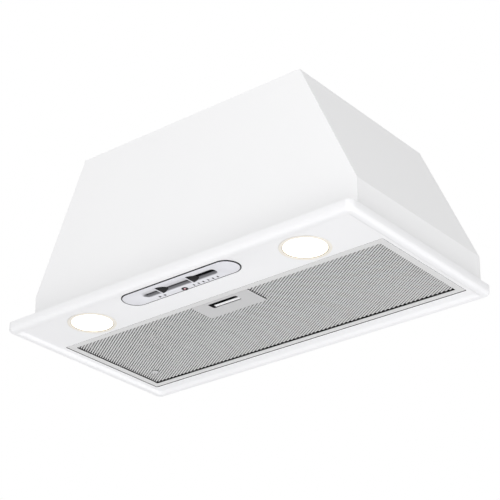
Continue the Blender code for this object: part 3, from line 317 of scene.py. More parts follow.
def fresh(name, shape):
    mesh = bpy.data.meshes.new(name)
    bmesh.ops.recalc_face_normals(shape, faces=shape.faces)
    shape.to_mesh(mesh)
    shape.free()
    mesh.shade_smooth()
    mesh.set_sharp_from_angle(angle=smoothAngle)
    return link(name, mesh)


def settle(piece):
    # Turns a piece and its modifiers into one plain mesh.
    graph = bpy.context.evaluated_depsgraph_get()
    mesh = bpy.data.meshes.new_from_object(piece.evaluated_get(graph))
    piece.modifiers.clear()
    piece.data = mesh


def carve(piece, shapes, operation="DIFFERENCE"):
    cutters = []
    for place, shape in enumerate(shapes):
        cutter = fresh(f"{piece.name}_cutter{place}", shape)
        modifier = piece.modifiers.new("carve", "BOOLEAN")
        modifier.operation, modifier.solver, modifier.object = operation, "EXACT", cutter
        cutters.append(cutter)
    settle(piece)
    for cutter in cutters:
        bpy.data.objects.remove(cutter)


def soften(piece, width, segments=2):
    piece.data.shade_smooth()
    bevel = piece.modifiers.new("edges", "BEVEL")
    bevel.width, bevel.segments, bevel.limit_method = width, segments, "ANGLE"
    bevel.angle_limit, bevel.harden_normals, bevel.use_clamp_overlap = smoothAngle, True, True
    settle(piece)


def dress(piece, finish, body="housing", stands=()):
    material, slot = finishes[finish]
    piece.data.materials.clear()
    piece.data.materials.append(material)
    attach(piece, body)
    if stands:
        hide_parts(*stands)
    return piece


def loft(loops, closed=False):
    shape = bmesh.new()
    rings = [[shape.verts.new(point) for point in loop] for loop in loops]
    count = len(rings[0])
    for i in range(len(rings) if closed else len(rings) - 1):
        below, above = rings[i], rings[(i + 1) % len(rings)]
        for j in range(count):
            k = (j + 1) % count
            shape.faces.new((below[j], below[k], above[k], above[j]))
    if not closed:
        shape.faces.new(rings[0][::-1])
        shape.faces.new(rings[-1])
    return shape


def roundLoop(halfX, halfY, radius, z, center=(0, 0), steps=10):
    points = []
    for quarter, (i, j) in enumerate(((1, 1), (-1, 1), (-1, -1), (1, -1))):
        for step in range(steps + 1):
            angle = math.pi / 2 * (quarter + step / steps)
            x = center[0] + i * (halfX - radius) + radius * math.cos(angle)
            y = center[1] + j * (halfY - radius) + radius * math.sin(angle)
            points.append((x * mm, y * mm, z * mm))
    return points


def block(low, high):
    corners = ((0, 0), (1, 0), (1, 1), (0, 1))
    pick = (low, high)
    return loft([[(pick[i][0] * mm, pick[j][1] * mm, z * mm) for i, j in corners] for z in (low[2], high[2])])


def turned(profile, center, segments=64, axis="Z", closed=False):
    # Profile points are radius and height along the axis.
    place = {"X": lambda a, b, h: (h, a, b), "Z": lambda a, b, h: (a, b, h)}[axis]
    loops = []
    for radius, height in profile:
        turns = [2 * math.pi * i / segments for i in range(segments)]
        loop = [Vector(place(radius * math.cos(t), radius * math.sin(t), height)) for t in turns]
        loops.append([(point + Vector(center)) * mm for point in loop])
    return loft(loops, closed)


def camel(node):
    head, *rest = node.split("_")
    return head + "".join(word.capitalize() for word in rest)


def softCopy(node, finish, width, segments=2, body="housing", name=None):
    # The CAD solid with its flat faces joined up again and all its edges rounded.
    shape = bmesh.new()
    shape.from_mesh(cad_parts[node].data)
    bmesh.ops.remove_doubles(shape, verts=shape.verts, dist=2e-6)
    bmesh.ops.dissolve_limit(shape, angle_limit=math.radians(1), verts=shape.verts, edges=shape.edges)
    piece = fresh(name or camel(node), shape)
    soften(piece, width * mm, segments)
    return dress(piece, finish, body, [node])


def softCopies(table):
    # Each row has the finish and edge radius, then the edge's segments, the body and the name.
    for node, row in table.items():
        softCopy(node, *row)


# Geometry node helpers.

def nodeTree(name, sizes):
    # A tree with a geometry input, one named input for each size, and a geometry output.
    tree = bpy.data.node_groups.new(name, "GeometryNodeTree")
    kinds = {float: "NodeSocketFloat", int: "NodeSocketInt", tuple: "NodeSocketVector"}
    tree.interface.new_socket("Geometry", in_out="INPUT", socket_type="NodeSocketGeometry")
    for key, value in sizes.items():
        kind = kinds.get(type(value))
        if kind is None:
            kind = "NodeSocketMaterial" if isinstance(value, bpy.types.Material) else "NodeSocketObject"
        tree.interface.new_socket(key, in_out="INPUT", socket_type=kind)
    tree.interface.new_socket("Geometry", in_out="OUTPUT", socket_type="NodeSocketGeometry")
    net = Net(tree)
    start = net.node("NodeGroupInput")
    wires = {socket.name: Wire(net, socket) for socket in start.outputs if socket.name}
    return net, wires


def finishTree(net, geometry, material):
    real = net.wire("GeometryNodeRealizeInstances", {}, {0: geometry})
    painted = net.wire("GeometryNodeSetMaterial", {}, {"Geometry": real, "Material": material})
    net.node("NodeGroupOutput", {}, {0: painted})


def grow(name, mesh, net, sizes):
    # Runs a tree on a mesh with its inputs set, and keeps the plain result.
    piece = link(name, mesh)
    modifier = piece.modifiers.new("grow", "NODES")
    modifier.node_group = net.tree
    for item in net.tree.interface.items_tree:
        if item.in_out == "INPUT" and item.name in sizes:
            modifier[item.identifier] = sizes[item.name]
    settle(piece)
    return piece


def pointMesh(name, points):
    mesh = bpy.data.meshes.new(name)
    mesh.from_pydata([Vector(point) * mm for point in points], [], [])
    return mesh


# Floor, sky, three soft lamps and the camera.

stage = {
    "floorZ": -4.0, "floorHalf": 16.0, "floorColour": (0.86, 0.86, 0.865), "floorShade": 0.985,
    "floorGlow": 0.6, "skyStrength": 0.58, "aim": (0, 0, 0.08),
    "lights": {
        "key": ((1.75, -1.75, -1.8), 3.6, 71.0),
        "frontFill": ((0, -2.4, 1.8), 2.6, 17.0),
        "rearFill": ((0.9, 1.2, -2.6), 2.6, 12.4),
    },
}
shot = {
    "place": (1.1204, -1.3855, -0.8053), "lens": 117.4,
    "right": (0.7800, 0.6258, -0.0010), "up": (0.2810, -0.3488, 0.8941),
}


def directRays(net):
    # 1 for rays that show the backdrop: from the camera, off gloss and through glass.
    path = net.node("ShaderNodeLightPath")
    seen = [Wire(net, path.outputs[key]) for key in ("Is Camera Ray", "Is Glossy Ray", "Is Transmission Ray")]
    return seen[0].math("MAXIMUM", seen[1]).math("MAXIMUM", seen[2])


def makeStage():
    half, z = stage["floorHalf"], stage["floorZ"]
    mesh = bpy.data.meshes.new("floor")
    corners = [(x * half, y * half, z) for x, y in ((-1, -1), (1, -1), (1, 1), (-1, 1))]
    mesh.from_pydata(corners, [], [(0, 1, 2, 3)])
    floor = link("floor", mesh)
    material, net, shader = startFinish("floorPaper", {"Roughness": 0.9, "Specular IOR Level": 0.1})
    cloud = noise(net, 1.5, 3)
    tone = stage["floorColour"]
    darker = tuple(part * stage["floorShade"] for part in tone)
    feed(net, shader, colour=blendColours(net, cloud, (*darker, 1), (*tone, 1)))
    glow = net.node("ShaderNodeEmission", {}, {"Color": (1, 1, 1, 1), "Strength": 1.0})
    mixed = net.node("ShaderNodeMixShader", {}, {0: directRays(net) * stage["floorGlow"]})
    net.tree.links.new(shader.outputs[0], mixed.inputs[1])
    net.tree.links.new(glow.outputs[0], mixed.inputs[2])
    ending = next(node for node in net.tree.nodes if node.type == "OUTPUT_MATERIAL")
    net.tree.links.new(mixed.outputs[0], ending.inputs["Surface"])
    mesh.materials.append(material)

    world = bpy.data.worlds.new("studio")
    bpy.context.scene.world = world
    world.use_nodes = True
    net = Net(world.node_tree)
    net.tree.nodes.clear()
    strength = stage["skyStrength"] + directRays(net) * (1 - stage["skyStrength"])
    sky = net.node("ShaderNodeBackground", {}, {"Color": (1, 1, 1, 1), "Strength": strength})
    output = net.node("ShaderNodeOutputWorld")
    net.tree.links.new(sky.outputs[0], output.inputs["Surface"])

    for name, (place, size, power) in stage["lights"].items():
        lamp = bpy.data.lights.new(name, "AREA")
        lamp.size, lamp.energy = size, power
        light = bpy.data.objects.new(name, lamp)
        light.location = place
        light.rotation_mode = "QUATERNION"
        light.rotation_quaternion = (Vector(stage["aim"]) - light.location).to_track_quat("-Z", "Y")
        light.visible_camera = False
        bpy.context.scene.collection.objects.link(light)

    data = bpy.data.cameras.new("camera")
    data.lens, data.sensor_width = shot["lens"], 36
    data.clip_start, data.clip_end = 0.05, 60
    camera = bpy.data.objects.new("camera", data)
    right, up = Vector(shot["right"]).normalized(), Vector(shot["up"])
    up = (up - right * up.dot(right)).normalized()
    back = right.cross(up)
    turn = Matrix((right, up, back)).transposed().to_4x4()
    camera.matrix_world = Matrix.Translation(shot["place"]) @ turn
    bpy.context.scene.collection.objects.link(camera)
    bpy.context.scene.camera = camera
    bpy.context.scene.view_settings.view_transform = "Standard"


makeStage()
print("stage, light and camera set")


# Bottom frame. Lengths in every dictionary from here on are millimetres.

shell = {
    "halfX": 260, "halfY": 142, "height": 13, "corner": 9, "lip": 5, "crest": 4, "slope": 5, "recess": 3.2,
    "plateTop": 5.2, "skin": 12, "topEdge": 0.6, "topBreak": 0.3, "lipRise": 0.6, "fieldStep": 1.2,
    "lipSteps": 9, "slopeSteps": 8, "cornerSteps": 14, "leastCorner": 3, "sharp": 32, "boreSegments": 20,
    "opening": (241.2, -57.3, 115.1), "openingCorner": 1.4, "openingEdge": 0.7, "openingSteps": 5,
    "pocket": (212, -104, -60.3), "seat": (246.5, -109.7, 12.7), "cavity": (98, -130.9, -100),
    "window": (-5.5, -109.8, 86, 17.6), "windowEdge": 0.5, "windowSteps": 16,
    "lamp": (162.2, -92.3, 27.9), "lampSegments": 64,
    "screws": ((223, -99.8), (189, 132.6)), "screwBore": 1.7,
    "panelScrews": ((-97.55, -98), (86.55, -98)), "panelBore": 1.3, "panelBoreFrom": 4.0,
    "hingeBore": (244, 111.2, 6.6, 1.5), "tongue": (-15, 17, 8.6, 11.2),
}


def flared(outline, surface, edge, top, reach=3, steps=5):
    # A cutter that widens with a round edge where it leaves the surface.
    loops = [outline(edge, surface - reach), outline(edge, surface)]
    for step in range(1, steps + 1):
        turn = math.pi / 2 * step / steps
        loops.append(outline(edge * (1 - math.sin(turn)), surface + edge * (1 - math.cos(turn))))
    loops.append(outline(0, top))
    return loft(loops)


def shellForm():
    # Loops from the top edge down the side, round the lip, up the crest's inner slope and into the field.
    s = shell
    lip, height, edge = s["lip"], s["height"], s["topEdge"]
    steps = [(edge, height), (edge * s["topBreak"], height - edge * s["topBreak"])]
    steps += [(0, height - edge), (0, lip + s["lipRise"])]
    for step in range(s["lipSteps"] + 1):
        turn = math.pi / 2 * step / s["lipSteps"]
        steps.append((lip * (1 - math.cos(turn)), lip * (1 - math.sin(turn))))
    crestEnd = lip + s["crest"]
    for step in range(s["slopeSteps"] + 1):
        share = step / s["slopeSteps"]
        steps.append((crestEnd + s["slope"] * share, s["recess"] * share * share * (3 - 2 * share)))
    steps.append((crestEnd + s["slope"] + s["fieldStep"], s["recess"]))
    loops = []
    for inset, z in steps:
        radius = max(s["corner"] - inset, s["leastCorner"])
        loops.append(roundLoop(s["halfX"] - inset, s["halfY"] - inset, radius, z, steps=s["cornerSteps"]))
    return loft(loops)


def shellRooms():
    # The filter's opening with the step behind it, and the rooms of the panel and the lamps.
    s = shell
    above = s["height"] + over
    halfX, front, back = s["opening"]
    center, halfY = (0, (front + back) / 2), (back - front) / 2

    def opening(grown, z):
        corner = s["openingCorner"] + grown
        return roundLoop(halfX + grown, halfY + grown, corner, z, center, s["openingSteps"])

    pocketX, pocketFront, pocketBack = s["pocket"]
    pocket = block((-pocketX, pocketFront, s["plateTop"]), (pocketX, pocketBack, above))
    cavityX, cavityFront, cavityBack = s["cavity"]
    windowX = s["window"][0]
    cavity = block(
        (windowX - cavityX, cavityFront, s["plateTop"]), (windowX + cavityX, cavityBack, s["skin"]))
    lampX, lampY, lampRadius = s["lamp"]
    ends = [(lampRadius, -over), (lampRadius, s["skin"])]
    wells = [turned(ends, (side * lampX, lampY, 0), s["lampSegments"]) for side in (-1, 1)]
    return [pocket, flared(opening, s["recess"], s["openingEdge"], above)], [cavity, *wells]


def shellHoles():
    # The panel's window, the bores of screws and pivot pins, and the slot for the latch's tongue.
    s = shell
    above, rounds = s["height"] + over, s["boreSegments"]
    windowX, windowY, windowHalf, windowRound = s["window"]

    def window(grown, z):
        radius = windowRound + grown
        center = (windowX, windowY)
        return roundLoop(windowHalf + grown, radius, radius - 0.001, z, center, s["windowSteps"])

    holes = [flared(window, s["recess"], s["windowEdge"], s["plateTop"] + over)]
    bores = [(side * x, y, s["screwBore"], s["plateTop"]) for x, y in s["screws"] for side in (-1, 1)]
    bores += [(x, y, s["panelBore"], s["panelBoreFrom"]) for x, y in s["panelScrews"]]
    for x, y, radius, low in bores:
        holes.append(turned([(radius, low), (radius, above)], (x, y, 0), rounds))
    reach, y, z, bore = s["hingeBore"]
    for side in (-1, 1):
        pinHole = sorted((side * (s["opening"][0] - over), side * reach))
        holes.append(turned([(bore, pinHole[0]), (bore, pinHole[1])], (0, y, z), rounds, "X"))
    left, right, low, high = s["tongue"]
    pocketBack, front = s["pocket"][2], s["opening"][1]
    holes.append(block((left, pocketBack - over, low), (right, front + over, high)))
    return holes


def makeShell():
    s = shell
    piece = fresh("frameShell", shellForm())
    seatX, seatY, seatZ = s["seat"]
    carve(piece, [block((-seatX, seatY, seatZ), (seatX, s["halfY"] + over, s["height"] + over))])
    for rooms in shellRooms():
        carve(piece, rooms)
    carve(piece, shellHoles())
    piece.data.shade_smooth()
    piece.data.set_sharp_from_angle(angle=math.radians(s["sharp"]))
    dress(piece, "whiteFrame", "housing", ["bottom_frame"])


makeShell()
print("bottom frame shell made")


# Casing sheets.

sheets = {
    f"casing_{side}": ("whitePaint", 0.3) for side in ("front", "rear", "left", "right", "top")
}

softCopies(sheets)
print("casing sheets made")


# Grease filter.

weave = {
    "pitch": 3.32, "angle": 32.8, "strandWidth": 1.6, "strandHeight": 0.4, "tilt": 15, "overlap": 1.1,
    "crossWidth": 0.25, "crossRise": 0.55, "left": -228.8, "right": 233, "front": -50, "rear": 103,
    "middleZ": 5.2, "notch": (-38.8, 45, -12), "rivet": (-209, 75, 3.6),
}


def weaveTree(sizes):
    net, put = nodeTree("expandedMetal", sizes)
    grid = net.wire("GeometryNodeMeshGrid", {}, {
        "Size X": put["Columns"] * put["Step X"] - put["Step X"],
        "Size Y": put["Rows"] * put["Step Y"] - put["Step Y"],
        "Vertices X": put["Columns"], "Vertices Y": put["Rows"]})
    place = net.node("ShaderNodeSeparateXYZ", {}, {0: net.wire("GeometryNodeInputPosition")})
    y = Wire(net, place.outputs[1])
    row = (y / put["Step Y"] + put["Rows"] * 0.5 + 0.25).math("FLOOR")
    shift = row.math("MODULO", 2.0) * put["Step X"] * 0.5
    offset = net.wire("ShaderNodeCombineXYZ", {}, {
        0: shift + put["Middle X"], 1: put["Middle Y"], 2: put["Middle Z"]})
    moved = net.wire("GeometryNodeSetPosition", {}, {"Geometry": grid, "Offset": offset})
    place = net.node("ShaderNodeSeparateXYZ", {}, {0: net.wire("GeometryNodeInputPosition")})
    x, y = Wire(net, place.outputs[0]), Wire(net, place.outputs[1])
    outside = (x < put["Left"]) + (x > put["Right"]) + (y < put["Front"]) + (y > put["Rear"])
    notch = (x > put["Notch Left"]) * (x < put["Notch Right"]) * (y < put["Notch Back"])
    away, down = x - put["Rivet X"], y - put["Rivet Y"]
    rivet = (away * away + down * down).math("SQRT") < put["Rivet Radius"]
    drop = (outside + notch + rivet) > 0.5
    kept = net.wire("GeometryNodeDeleteGeometry", {"domain": "POINT"}, {"Geometry": moved, "Selection": drop})
    strands = net.node("GeometryNodeJoinGeometry")
    for side in (-1, 1):
        width = put["Width"] if side < 0 else put["Cross Width"]
        rise = put["Cross Rise"] * (0.0 if side < 0 else 1.0)
        size = net.wire("ShaderNodeCombineXYZ", {}, {0: put["Length"], 1: width, 2: put["Height"]})
        cube = net.wire("GeometryNodeMeshCube", {}, {"Size": size})
        lean = net.wire("ShaderNodeCombineXYZ", {}, {0: put["Tilt"] * side, 2: put["Angle"] * side})
        middle = net.wire("ShaderNodeCombineXYZ", {}, {
            0: put["Step X"] * (0.25 * side), 1: put["Step Y"] * 0.5, 2: rise})
        strand = net.wire("GeometryNodeTransform", {}, {
            "Geometry": cube, "Translation": middle, "Rotation": lean})
        net.tree.links.new(strand.socket, strands.inputs[0])
    cells = net.wire("GeometryNodeInstanceOnPoints", {}, {
        "Points": kept, "Instance": Wire(net, strands.outputs[0])})
    finishTree(net, cells, put["Material"])
    return net


def makeWeave():
    w = weave
    angle = math.radians(w["angle"])
    side = w["pitch"] / math.sin(2 * angle)
    stepX, stepY = 2 * side * math.cos(angle), side * math.sin(angle)
    columns = int((w["right"] - w["left"]) / stepX) + 4
    rows = int((w["rear"] - w["front"]) / stepY) + 4
    sizes = {
        "Columns": columns, "Rows": rows, "Step X": stepX * mm, "Step Y": stepY * mm,
        "Middle X": (w["left"] + w["right"]) / 2 * mm, "Middle Y": (w["front"] + w["rear"]) / 2 * mm,
        "Middle Z": w["middleZ"] * mm, "Left": w["left"] * mm, "Right": w["right"] * mm,
        "Front": w["front"] * mm, "Rear": w["rear"] * mm, "Notch Left": w["notch"][0] * mm,
        "Notch Right": w["notch"][1] * mm, "Notch Back": w["notch"][2] * mm, "Rivet X": w["rivet"][0] * mm,
        "Rivet Y": w["rivet"][1] * mm, "Rivet Radius": w["rivet"][2] * mm,
        "Length": side * w["overlap"] * mm, "Width": w["strandWidth"] * mm, "Height": w["strandHeight"] * mm,
        "Cross Width": w["crossWidth"] * mm, "Cross Rise": w["crossRise"] * mm,
        "Tilt": math.radians(w["tilt"]), "Angle": angle, "Material": finishes["filterMetal"][0],
    }
    net = weaveTree(sizes)
    piece = grow("expandedMetal", pointMesh("expandedMetal", [(0, 0, 0)]), net, sizes)
    print("expanded metal cells:", len(piece.data.polygons) // 12)
    dress(piece, "filterMetal", "filter", ["filter_mesh"])


makeWeave()
filterParts = {
    "filter_frame": ("filterMetal", 0.22, 2, "filter", "filterChannel"),
    "filter_backing": ("filterMetal", 0.15, 1, "filter"),
    # the pack is given near-black metal as painted shade
    "filter_pack": ("innerMesh", 0.15, 1, "filter", "filterInnerMesh"),
    "filter_pin_left": ("zincSteel", 0.2, 2, "filter"), "filter_pin_right": ("zincSteel", 0.2, 2, "filter"),
    # the latch handle is near-black: painted shade for its wall in the slot
    "latch_plate": ("satinMetal", 0.2, 3, "filter"), "latch_handle": ("inkPlastic", 0.2, 3, "latch"),
}
softCopies(filterParts)

catch = {
    "lip": ((-16.6, -35.3, 4.62), (21.3, -31.0, 5.6)), "lipRound": 0.45, "lipSegments": 4,
    "well": ((-20.3, -43.0, 5.55), (22.3, -31.7, 9.4)), "wall": 0.6,
    "rivet": ((0.1, 3.9), (3.0, 3.92), (4.4, 4.0), (4.85, 4.2), (4.9, 4.4), (1.4, 4.5), (1.4, 5.9),
              (0.1, 5.9)), "rivetSegments": 40,
    # the ring in the filter's gap is near-black, as painted shade
    "seal": (240.9, -57.0, 115.0), "shadeRingWidth": 0.7, "shadeRingCorners": (1.9, 1.2), "sealZ": (3.55, 5.0),
}


def makeCatch():
    # Finger lip of the latch in white as a painted highlight, and the near-black well above it as painted
    # shade.
    lip = fresh("latchLip", block(*catch["lip"]))
    soften(lip, catch["lipRound"] * mm, catch["lipSegments"])
    dress(lip, "whiteFrame", "latch")
    low, high = catch["well"]
    wall = catch["wall"]
    well = fresh("latchWell", block(low, high))
    roomLow = (low[0] + wall, low[1] + wall, low[2] - over)
    carve(well, [block(roomLow, [part - wall for part in high])])
    dress(well, "inkPlastic", "latch")


def makeRivet():
    x, y, _ = weave["rivet"]
    rivet = fresh("filterRivet", turned(catch["rivet"], (x, y, 0), catch["rivetSegments"]))
    dress(rivet, "rivetGrey", "filter", ["filter_rivet"])


def makeGapShade():
    # Near-black ring in the gap between the filter's channel and the frame: painted shade in the gap.
    halfX, front, back = catch["seal"]
    middle, halfY, width = (0, (front + back) / 2), (back - front) / 2, catch["shadeRingWidth"]
    outside, inside = catch["shadeRingCorners"]
    outer = [roundLoop(halfX + width, halfY + width, outside, z, middle) for z in catch["sealZ"]]
    inner = [roundLoop(halfX, halfY, inside, z, middle) for z in catch["sealZ"][::-1]]
    dress(fresh("filterSeal", loft(outer + inner, closed=True)), "inkPlastic")


makeCatch()
makeRivet()
makeGapShade()
print("grease filter made")


# Lamps.

lamps = {
    "x": 162.2, "y": -92.3, "segments": 96, "moduleEdge": 0.3,
    "lens": (26.4, 3.25, 4.8), "lensDome": 0.3, "lensRings": 9, "lensMiddle": 0.02,
    "ring": ((26.2, 2.9), (26.2, 2.55), (26.4, 2.36), (27.0, 2.3), (28.8, 2.3), (29.5, 2.4), (29.85, 2.6),
             (29.9, 2.9), (27.6, 2.9), (27.6, 10.1), (27.4, 10.4), (26.9, 10.4), (26.9, 2.9)),
    "seal": ((25.6, 2.95), (26.15, 2.95), (26.15, 3.0), (26.8, 3.0), (26.8, 3.2), (25.6, 3.2)),
}


def makeLamps():
    radius, low, high = lamps["lens"]
    rings, rounds = lamps["lensRings"], lamps["segments"]
    middle = lamps["lensMiddle"]
    for side, label in ((-1, "left"), (1, "right")):
        center, end = (side * lamps["x"], lamps["y"], 0), label.capitalize()
        ring = fresh("lampRing" + end, turned(lamps["ring"], center, rounds, closed=True))
        dress(ring, "lampTrim", "housing", [f"lamp_bezel_{label}"])
        # a brown ring at the lens's edge, as painted shade
        seal = fresh("lampSeal" + end, turned(lamps["seal"], center, rounds, closed=True))
        dress(seal, "lampSeal")
        profile = []
        for step in range(rings):
            share = (step + middle) / (rings - 1 + middle)
            profile.append((radius * share, low + lamps["lensDome"] * share * share))
        profile += [(radius, high), (radius * middle, high)]
        lens = fresh("lampLens" + end, turned(profile, center, rounds))
        dress(lens, "lampGlass", "housing", [f"lamp_lens_{label}"])
        softCopy(f"lamp_module_{label}", "zincSteel", lamps["moduleEdge"])


makeLamps()
print("lamps made")


# Control panel.

panel = {
    "center": (-6.4, -108.9), "half": (85.0, 16.6), "face": 3.1, "faceEdge": 0.5, "edgeSteps": 5,
    "base": ((-102.5, -129.9, 5.5), (91.5, -89.7, 6.5)), "sharp": 38, "roundSteps": 16,
    "rim": (-5.5, -109.8, 85.98, 17.58), "rimZ": (2.75, 4.6), "rimGap": 0.03,
    "slot": (-8.1, -109.8, 56.4, 8.6), "mouth": 0.35, "scoopDepth": 2.3, "scoopPower": 1.5, "scoopEnd": 3,
    "scoopShares": (-0.4, 0, 0.08, 0.25, 0.5, 0.75, 1.0), "slitHalf": 1.3, "slitY": -107.2, "slitStart": 0.3,
    "wideSlit": (30, -110.4, 16.5, 3.3), "wideShare": 0.45,
    "dustStrip": ((-62.5, -118, 7.86), (48, -101.6, 8.04)),
    "pilot": (-10.5, -95.5, 0), "pilotBore": 2.6, "pilotRing": (
        (1.6, 3.7), (1.6, 2.8), (1.85, 2.5), (3.7, 2.5), (4.1, 2.85), (4.1, 3.07), (1.9, 3.07), (1.9, 3.7)),
    "pilotLens": ((0.0525, 2.75), (0.875, 2.83), (1.4875, 3.05), (1.75, 3.45), (1.75, 9.3), (0.0525, 9.3)),
    "pilotRounds": (32, 40, 32), "holeRounds": 20,
}


def stadiumLoop(center, halfLength, halfWidth, z):
    # The corners stay just short of a half circle, so that no two points meet.
    return roundLoop(halfLength, halfWidth, halfWidth - 0.001, z, center, panel["roundSteps"])


def fasciaHoles():
    # The scooped slot with its dark slit, the bores of the pilot lamp and the screws, and a wide slit.
    p = panel
    face, top, depth = p["face"], p["base"][1][2] + over, p["scoopDepth"]
    slotX, slotY, slotHalf, slotRound = p["slot"]
    slitHalf, slitY = p["slitHalf"], p["slitY"]
    scoop = []
    for share in p["scoopShares"]:
        lean = max(share, 0) ** p["scoopPower"]
        mouth = 0 if share > 0 else p["mouth"]
        halfLength = slotHalf - lean * p["scoopEnd"] + mouth
        halfWidth = slotRound + mouth - lean * (slotRound - slitHalf)
        middle = (slotX, slotY + lean * (slitY - slotY))
        scoop.append(stadiumLoop(middle, halfLength, halfWidth, face + depth * share))
    slit = [stadiumLoop((slotX, slitY), slotHalf - p["scoopEnd"], slitHalf, z)
            for z in (face + depth - p["slitStart"], top)]
    bores = [(p["pilotBore"], p["pilot"], p["pilotRounds"][0])]
    bores += [(shell["panelBore"], (x, y, 0), p["holeRounds"]) for x, y in shell["panelScrews"]]
    holes = [loft(scoop), loft(slit)]
    for radius, place, rounds in bores:
        holes.append(turned([(radius, face - over), (radius, top)], place, rounds))
    wideX, wideY, wideHalf, wideRound = p["wideSlit"]
    wide = [stadiumLoop((wideX, wideY), wideHalf, wideRound, z) for z in (face + depth * p["wideShare"], top)]
    return holes, [loft(wide)]


def makeFascia():
    p = panel
    center, (halfX, halfY), face, edge = p["center"], p["half"], p["face"], p["faceEdge"]
    loops = []
    for step in range(p["edgeSteps"] + 1):
        turn = math.pi / 2 * step / p["edgeSteps"]
        inset = edge * (1 - math.sin(turn))
        loops.append(stadiumLoop(center, halfX - inset, halfY - inset, face + edge * (1 - math.cos(turn))))
    loops.append(stadiumLoop(center, halfX, halfY, (p["base"][0][2] + p["base"][1][2]) / 2))
    piece = fresh("controlFascia", loft(loops))
    carve(piece, [block(*p["base"])], "UNION")
    rimX, rimY, rimHalf, rimRound = p["rim"]
    gap = p["rimGap"]
    outer = [stadiumLoop((rimX, rimY), rimHalf, rimRound, z) for z in p["rimZ"]]
    inner = [stadiumLoop(center, halfX + gap, halfY + gap, z) for z in p["rimZ"][::-1]]
    # near-black ring round the fascia: painted shade for the dark line at its edge
    dress(fresh("fasciaRim", loft(outer + inner, closed=True)), "inkPlastic")
    # near-black strip behind the slit: painted shade, so that the slit reads dark
    dress(fresh("dustStrip", block(*p["dustStrip"])), "inkPlastic")
    for holes in fasciaHoles():
        carve(piece, holes)
    piece.data.shade_smooth()
    piece.data.set_sharp_from_angle(angle=math.radians(p["sharp"]))
    dress(piece, "silverPlastic", "housing", ["control_fascia"])
    _, ringRounds, lensRounds = p["pilotRounds"]
    rim = fresh("pilotRing", turned(p["pilotRing"], p["pilot"], ringRounds, closed=True))
    dress(rim, "inkPlastic")
    lens = fresh("pilotLens", turned(p["pilotLens"], p["pilot"], lensRounds))
    dress(lens, "redLens", "housing", ["pilot_lens"])


knobs = {
    "wedge": ((-4.5, 3.1), (-3.0, 2.95), (6.9, 5.0), (6.9, 5.3), (-4.5, 5.3)), "foldZ": 4.3, "halfY": 8.1,
    "ends": ((-1, 0.82), (-0.9, 1), (0.9, 1), (1, 0.82)), "wedgeEdge": 0.2,
    "stem": (3.2, 1.0, -107.2, 5.2), "base": (7.5, 10.8, 6.8, 7.8), "stemSink": 0.4,
    "bar": ((-4.6, -7.9, 2.6), (-3.25, 7.9, 4.6)), "barEdge": 0.35,
    "light": (-34.5, "light_slider", "light_knob"), "speed": (12.4, "speed_slider", "speed_knob"),
}


def makeKnob(key):
    # A near-black wedge on its foot and stem, painted shade for the knob's shaded side, with a bar of the
    # knob's pale plastic along its high edge as its lit ridge.
    k = knobs
    x, node, body = k[key]
    y = panel["slot"][1]
    fold, loops = k["foldZ"], []
    for share, squeeze in k["ends"]:
        end = y + k["halfY"] * share
        points = [(x + u * squeeze, end, fold + (z - fold) * squeeze) for u, z in k["wedge"]]
        loops.append([Vector(point) * mm for point in points])
    piece = fresh(f"{key}KnobWedge", loft(loops))
    baseX, baseY, low, high = k["base"]
    stemX, stemY, stemMiddle, stemLow = k["stem"]
    foot = block((x - baseX, y - baseY, low), (x + baseX, y + baseY, high))
    stemTop = low + k["stemSink"]
    stem = block((x - stemX, stemMiddle - stemY, stemLow), (x + stemX, stemMiddle + stemY, stemTop))
    carve(piece, [foot, stem], "UNION")
    soften(piece, k["wedgeEdge"] * mm, 2)
    # the wedge is near-black: painted shade
    dress(piece, "inkPlastic", body, [node])
    bar = fresh(f"{key}KnobBar", block(*[(x + corner[0], y + corner[1], corner[2]) for corner in k["bar"]]))
    soften(bar, k["barEdge"] * mm, 3)
    dress(bar, "knobPlastic", body)


switches = {
    "switch_board": ("boardGreen", 0.1, 1), "light_switch": ("darkPlastic", 0.15),
    "speed_switch": ("darkPlastic", 0.15),
}

marks = {
    "scale": [(4.6 + 7.1 * step, -96.6) for step in range(6)], "scaleSize": (1.7, 3.5, 0.12),
    "lamp": [(-47.5, -97.2), (-39.9, -97.0)], "lampSize": (2.6, 3.0, 0.12), "z": 3.07,
}


def makeMarks():
    # Plain raised ticks: a scale for the speed and two dots for the light.
    for name, points, size in (("scaleTicks", marks["scale"], marks["scaleSize"]),
                               ("lightDots", marks["lamp"], marks["lampSize"])):
        sizes = {"Size": tuple(part * mm for part in size), "Material": finishes["inkPlastic"][0]}
        net, put = nodeTree(name, sizes)
        cube = net.wire("GeometryNodeMeshCube", {}, {"Size": put["Size"]})
        ticks = net.wire("GeometryNodeInstanceOnPoints", {}, {"Points": put["Geometry"], "Instance": cube})
        finishTree(net, ticks, put["Material"])
        mesh = pointMesh(name, [(x, y, marks["z"]) for x, y in points])
        dress(grow(name, mesh, net, sizes), "inkPlastic")


makeFascia()
makeKnob("light")
makeKnob("speed")
makeMarks()
softCopies(switches)
print("control panel made")


# Outlet.

outlet = {
    "outlet_collar": ("darkPlastic", 0.3), "flap_left": ("darkPlastic", 0.15, 2, "left_flap"),
    "flap_right": ("darkPlastic", 0.15, 2, "right_flap"),
}

softCopies(outlet)
print("outlet made")


# Blower.

blower = {
    "scroll_left": ("darkPlastic", 0.3, 1), "scroll_right": ("darkPlastic", 0.3, 1),
    "inlet_guard": ("darkPlastic", 0.25), "motor_body": ("motorGrey", 0.5, 3),
    "motor_bracket": ("zincSteel", 0.25), "motor_shaft": ("zincSteel", 0.3, 2, "fan"),
}
softCopies(blower)

